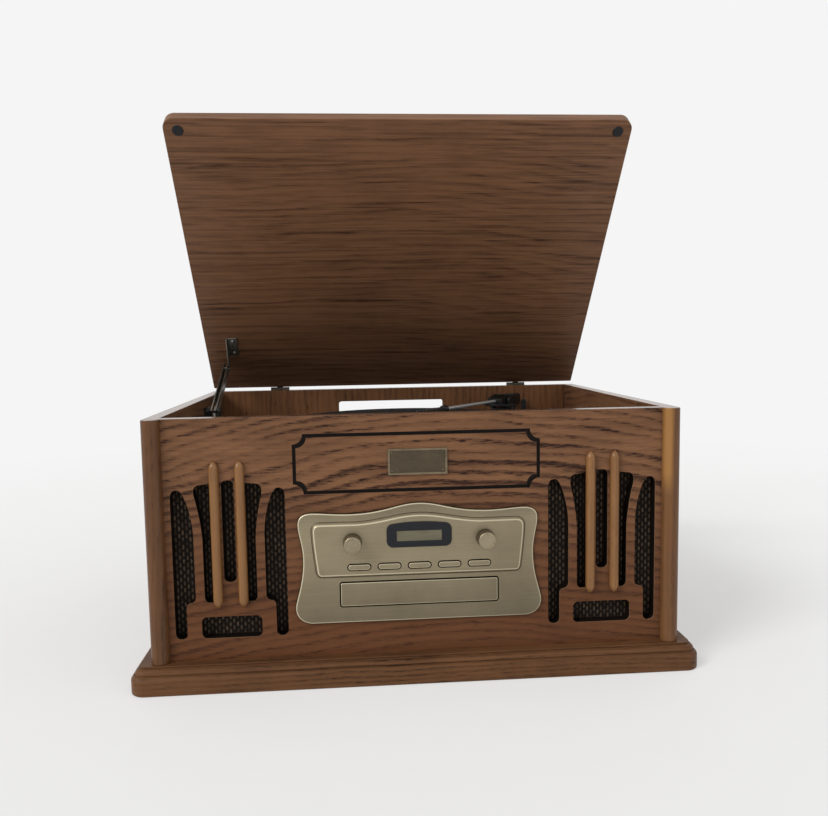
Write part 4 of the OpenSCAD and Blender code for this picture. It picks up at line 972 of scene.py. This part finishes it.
# %% [markdown]
# Each cloth is one flat sheet, stretched over a frame behind the board and wide enough to
# be clamped all round. The slubs are real relief: a fine grid is lifted by a small amount
# where each one lies, and the amount is stored for the finish. A Solidify modifier gives
# the sheet its thickness.

# %% Grille cloths
cloth_low, cloth_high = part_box("grille_cloths")
CLOTH_X = 0.1753
CLOTH_WIDTH = 2 * (cloth_high[0] - CLOTH_X)
CLOTH_HEIGHT = cloth_high[2] - cloth_low[2]
CLOTH_GRID = (170, 250)
CLOTH_FACE = cloth_low[1] + 0.0003
SLUB_GAP, SLUB_STEP = 0.0034, 0.0069
SLUB_HALF_WIDTH, SLUB_HALF_LENGTH = 0.34 * SLUB_GAP, 0.42
SLUB_RISE = 0.00025


def slub_lift(across, along):
    column = round(across / SLUB_GAP)
    row = along / SLUB_STEP + 0.5 * (column % 2)
    dx = (across - column * SLUB_GAP) / SLUB_HALF_WIDTH
    dz = (row - round(row)) / SLUB_HALF_LENGTH
    return max(0.0, 1 - dx * dx - dz * dz)


def grille_cloth(name, side):
    shape = bmesh.new()
    bmesh.ops.create_grid(shape, x_segments=CLOTH_GRID[0], y_segments=CLOTH_GRID[1], size=0.5)
    slub = shape.verts.layers.float.new("slub")
    for vert in shape.verts:
        across, along = vert.co.x * CLOTH_WIDTH, vert.co.y * CLOTH_HEIGHT
        lift = slub_lift(across, along)
        vert[slub] = min(1.0, 2.2 * lift)
        vert.co = (side * CLOTH_X + across, CLOTH_FACE - SLUB_RISE * lift,
                   cloth_low[2] + 0.5 * CLOTH_HEIGHT + along)
    bmesh.ops.recalc_face_normals(shape, faces=shape.faces)
    if shape.faces[0].normal.y > 0:
        bmesh.ops.reverse_faces(shape, faces=shape.faces)
    for face in shape.faces:
        face.smooth = True
    piece = plain(name, shape)
    backing = piece.modifiers.new("backing", "SOLIDIFY")
    backing.thickness = 0.0005
    backing.offset = -1
    piece.data.materials.append(weave)
    return piece


left_cloth = grille_cloth("left_grille_cloth", -1)
right_cloth = grille_cloth("right_grille_cloth", 1)
for piece in (left_cloth, right_cloth):
    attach(piece, "case")
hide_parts("grille_cloths")
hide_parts("grille_cloths")
print("two cloths", round(CLOTH_WIDTH, 4), "by", round(CLOTH_HEIGHT, 4))

# %% [markdown]
# The small fasteners are turned: half of each one's outline is drawn once and spun about
# its axis. A screw then gets a slot, cut by two planes and pushed in. The same screw is
# set in every place that its bracket, leaf or panel needs one.

# %% Turned screws and pins
TURN_STEPS = 14


def turned(profile):
    shape = bmesh.new()
    verts = [shape.verts.new((radius, 0, height)) for radius, height in profile]
    edges = [shape.edges.new(pair) for pair in zip(verts, verts[1:])]
    bmesh.ops.spin(shape, geom=verts + edges, cent=(0, 0, 0), axis=(0, 0, 1), angle=2 * pi,
                   steps=TURN_STEPS)
    bmesh.ops.remove_doubles(shape, verts=shape.verts, dist=1e-6)
    bmesh.ops.recalc_face_normals(shape, faces=shape.faces)
    return shape


def screw(radius, height):
    shape = turned([(0, height), (0.6 * radius, 0.85 * height), (radius, 0.35 * height), (radius, 0), (0, 0)])
    half = 0.16 * radius
    for side in (-half, half):
        bmesh.ops.bisect_plane(shape, geom=shape.verts[:] + shape.edges[:] + shape.faces[:], dist=1e-7,
                               plane_co=(side, 0, 0), plane_no=(1, 0, 0))
    middles = [(face, face.calc_center_median()) for face in shape.faces]
    strip = [face for face, middle in middles if abs(middle.x) < half and middle.z > 0.5 * height]
    pushed = bmesh.ops.extrude_face_region(shape, geom=strip)["geom"]
    for vert in [v for v in pushed if isinstance(v, bmesh.types.BMVert)]:
        vert.co.z -= 0.45 * height
    bmesh.ops.recalc_face_normals(shape, faces=shape.faces)
    return shape


def set_in(name, shape, places, finish, body):
    pattern = bpy.data.meshes.new(name + "_pattern")
    shape.to_mesh(pattern)
    shape.free()
    group = bmesh.new()
    for place in places:
        here = pattern.copy()
        here.transform(place)
        group.from_mesh(here)
    shade(group, SHARP)
    return show(name, group, finish, body)


def facing(axis, degrees, points):
    return [Matrix.Translation(p) @ Matrix.Rotation(radians(degrees), 4, axis) for p in points]


print("a screw has", len(screw(0.002, 0.001).faces), "faces")

# %% [markdown]
# The hinges' leaves and the stay's bracket on the lid were drawn with the lid shut. The
# screws on the lid's side are placed in that pose too, and then turned about the hinge to
# the 50 degrees at which the lid stands open in the photograph.

# %% Screws of the hinges and the stay
LID_OPEN_DEGREES = 50
LEAF_SCREW, STAY_SCREW, WALL_SCREW = (0.0019, 0.0009), (0.0021, 0.0010), (0.0015, 0.0008)
HINGE_X, HINGE_SHIFT, LEAF_HALF = 0.1645, 0.005, 0.0078
CASE_LEAF, LID_LEAF = (0.1867, 0.233), (0.187, 0.2615)
STAY_PLATE = [(-0.2133, 0.1013, 0.252), (-0.2133, 0.1205, 0.252)]
WALL_PLATE = [(-0.233, 0.0485 + half, z) for half in (-0.0078, 0.0078) for z in (0.2195, 0.238)]

hinge = Vector(joints["lid_hinge"]["pos_m"])
opened = Matrix.Rotation(radians(-LID_OPEN_DEGREES), 4, "X")
lid_open = Matrix.Translation(hinge) @ opened @ Matrix.Translation(-hinge)
leaf_x = [side * HINGE_X + HINGE_SHIFT + half for side in (-1, 1) for half in (-LEAF_HALF, LEAF_HALF)]
case_leaf, lid_leaf = ([(x, *leaf) for x in leaf_x] for leaf in (CASE_LEAF, LID_LEAF))
set_in("hinge_case_screws", screw(*LEAF_SCREW), facing("X", -90, case_leaf),
       hinge_brass, "case")
set_in("hinge_lid_screws", screw(*LEAF_SCREW), [lid_open @ m for m in facing("X", -90, lid_leaf)],
       hinge_brass, "lid")
set_in("stay_lid_screws", screw(*STAY_SCREW), [lid_open @ m for m in facing("X", 180, STAY_PLATE)],
       steel, "lid")
set_in("stay_wall_screws", screw(*WALL_SCREW), facing("Y", 90, WALL_PLATE),
       steel, "case")
print("hinge axis at", [round(c, 4) for c in hinge])
print("leaf screws at x", [round(x, 4) for x in leaf_x])

# %% [markdown]
# The socket panel at the back is held at its corners, and so is the name plate, by four
# small round-headed pins.

# %% Screws of the socket panel, pins of the name plate
def corners_of(node, margin, y):
    low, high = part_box(node)
    sides = (low[0] + margin, high[0] - margin)
    return [(x, y, z) for x in sides for z in (low[2] + margin, high[2] - margin)]


panel_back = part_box("socket_panel")[1][1]
name_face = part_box("name_plate")[0][1]
set_in("socket_screws", screw(0.0024, 0.0011),
       facing("X", -90, corners_of("socket_panel", 0.005, panel_back - 0.0001)),
       steel, "case")
set_in("name_plate_pins", turned([(0, 0.0007), (0.0006, 0.0006), (0.001, 0.0003), (0.0011, 0), (0, 0)]),
       facing("X", 90, corners_of("name_plate", 0.0038, name_face + 0.0008)),
       plaque_bronze, "case")
print("panel's back at y", round(panel_back, 4), "and name plate's face at", round(name_face, 4))

# %% [markdown]
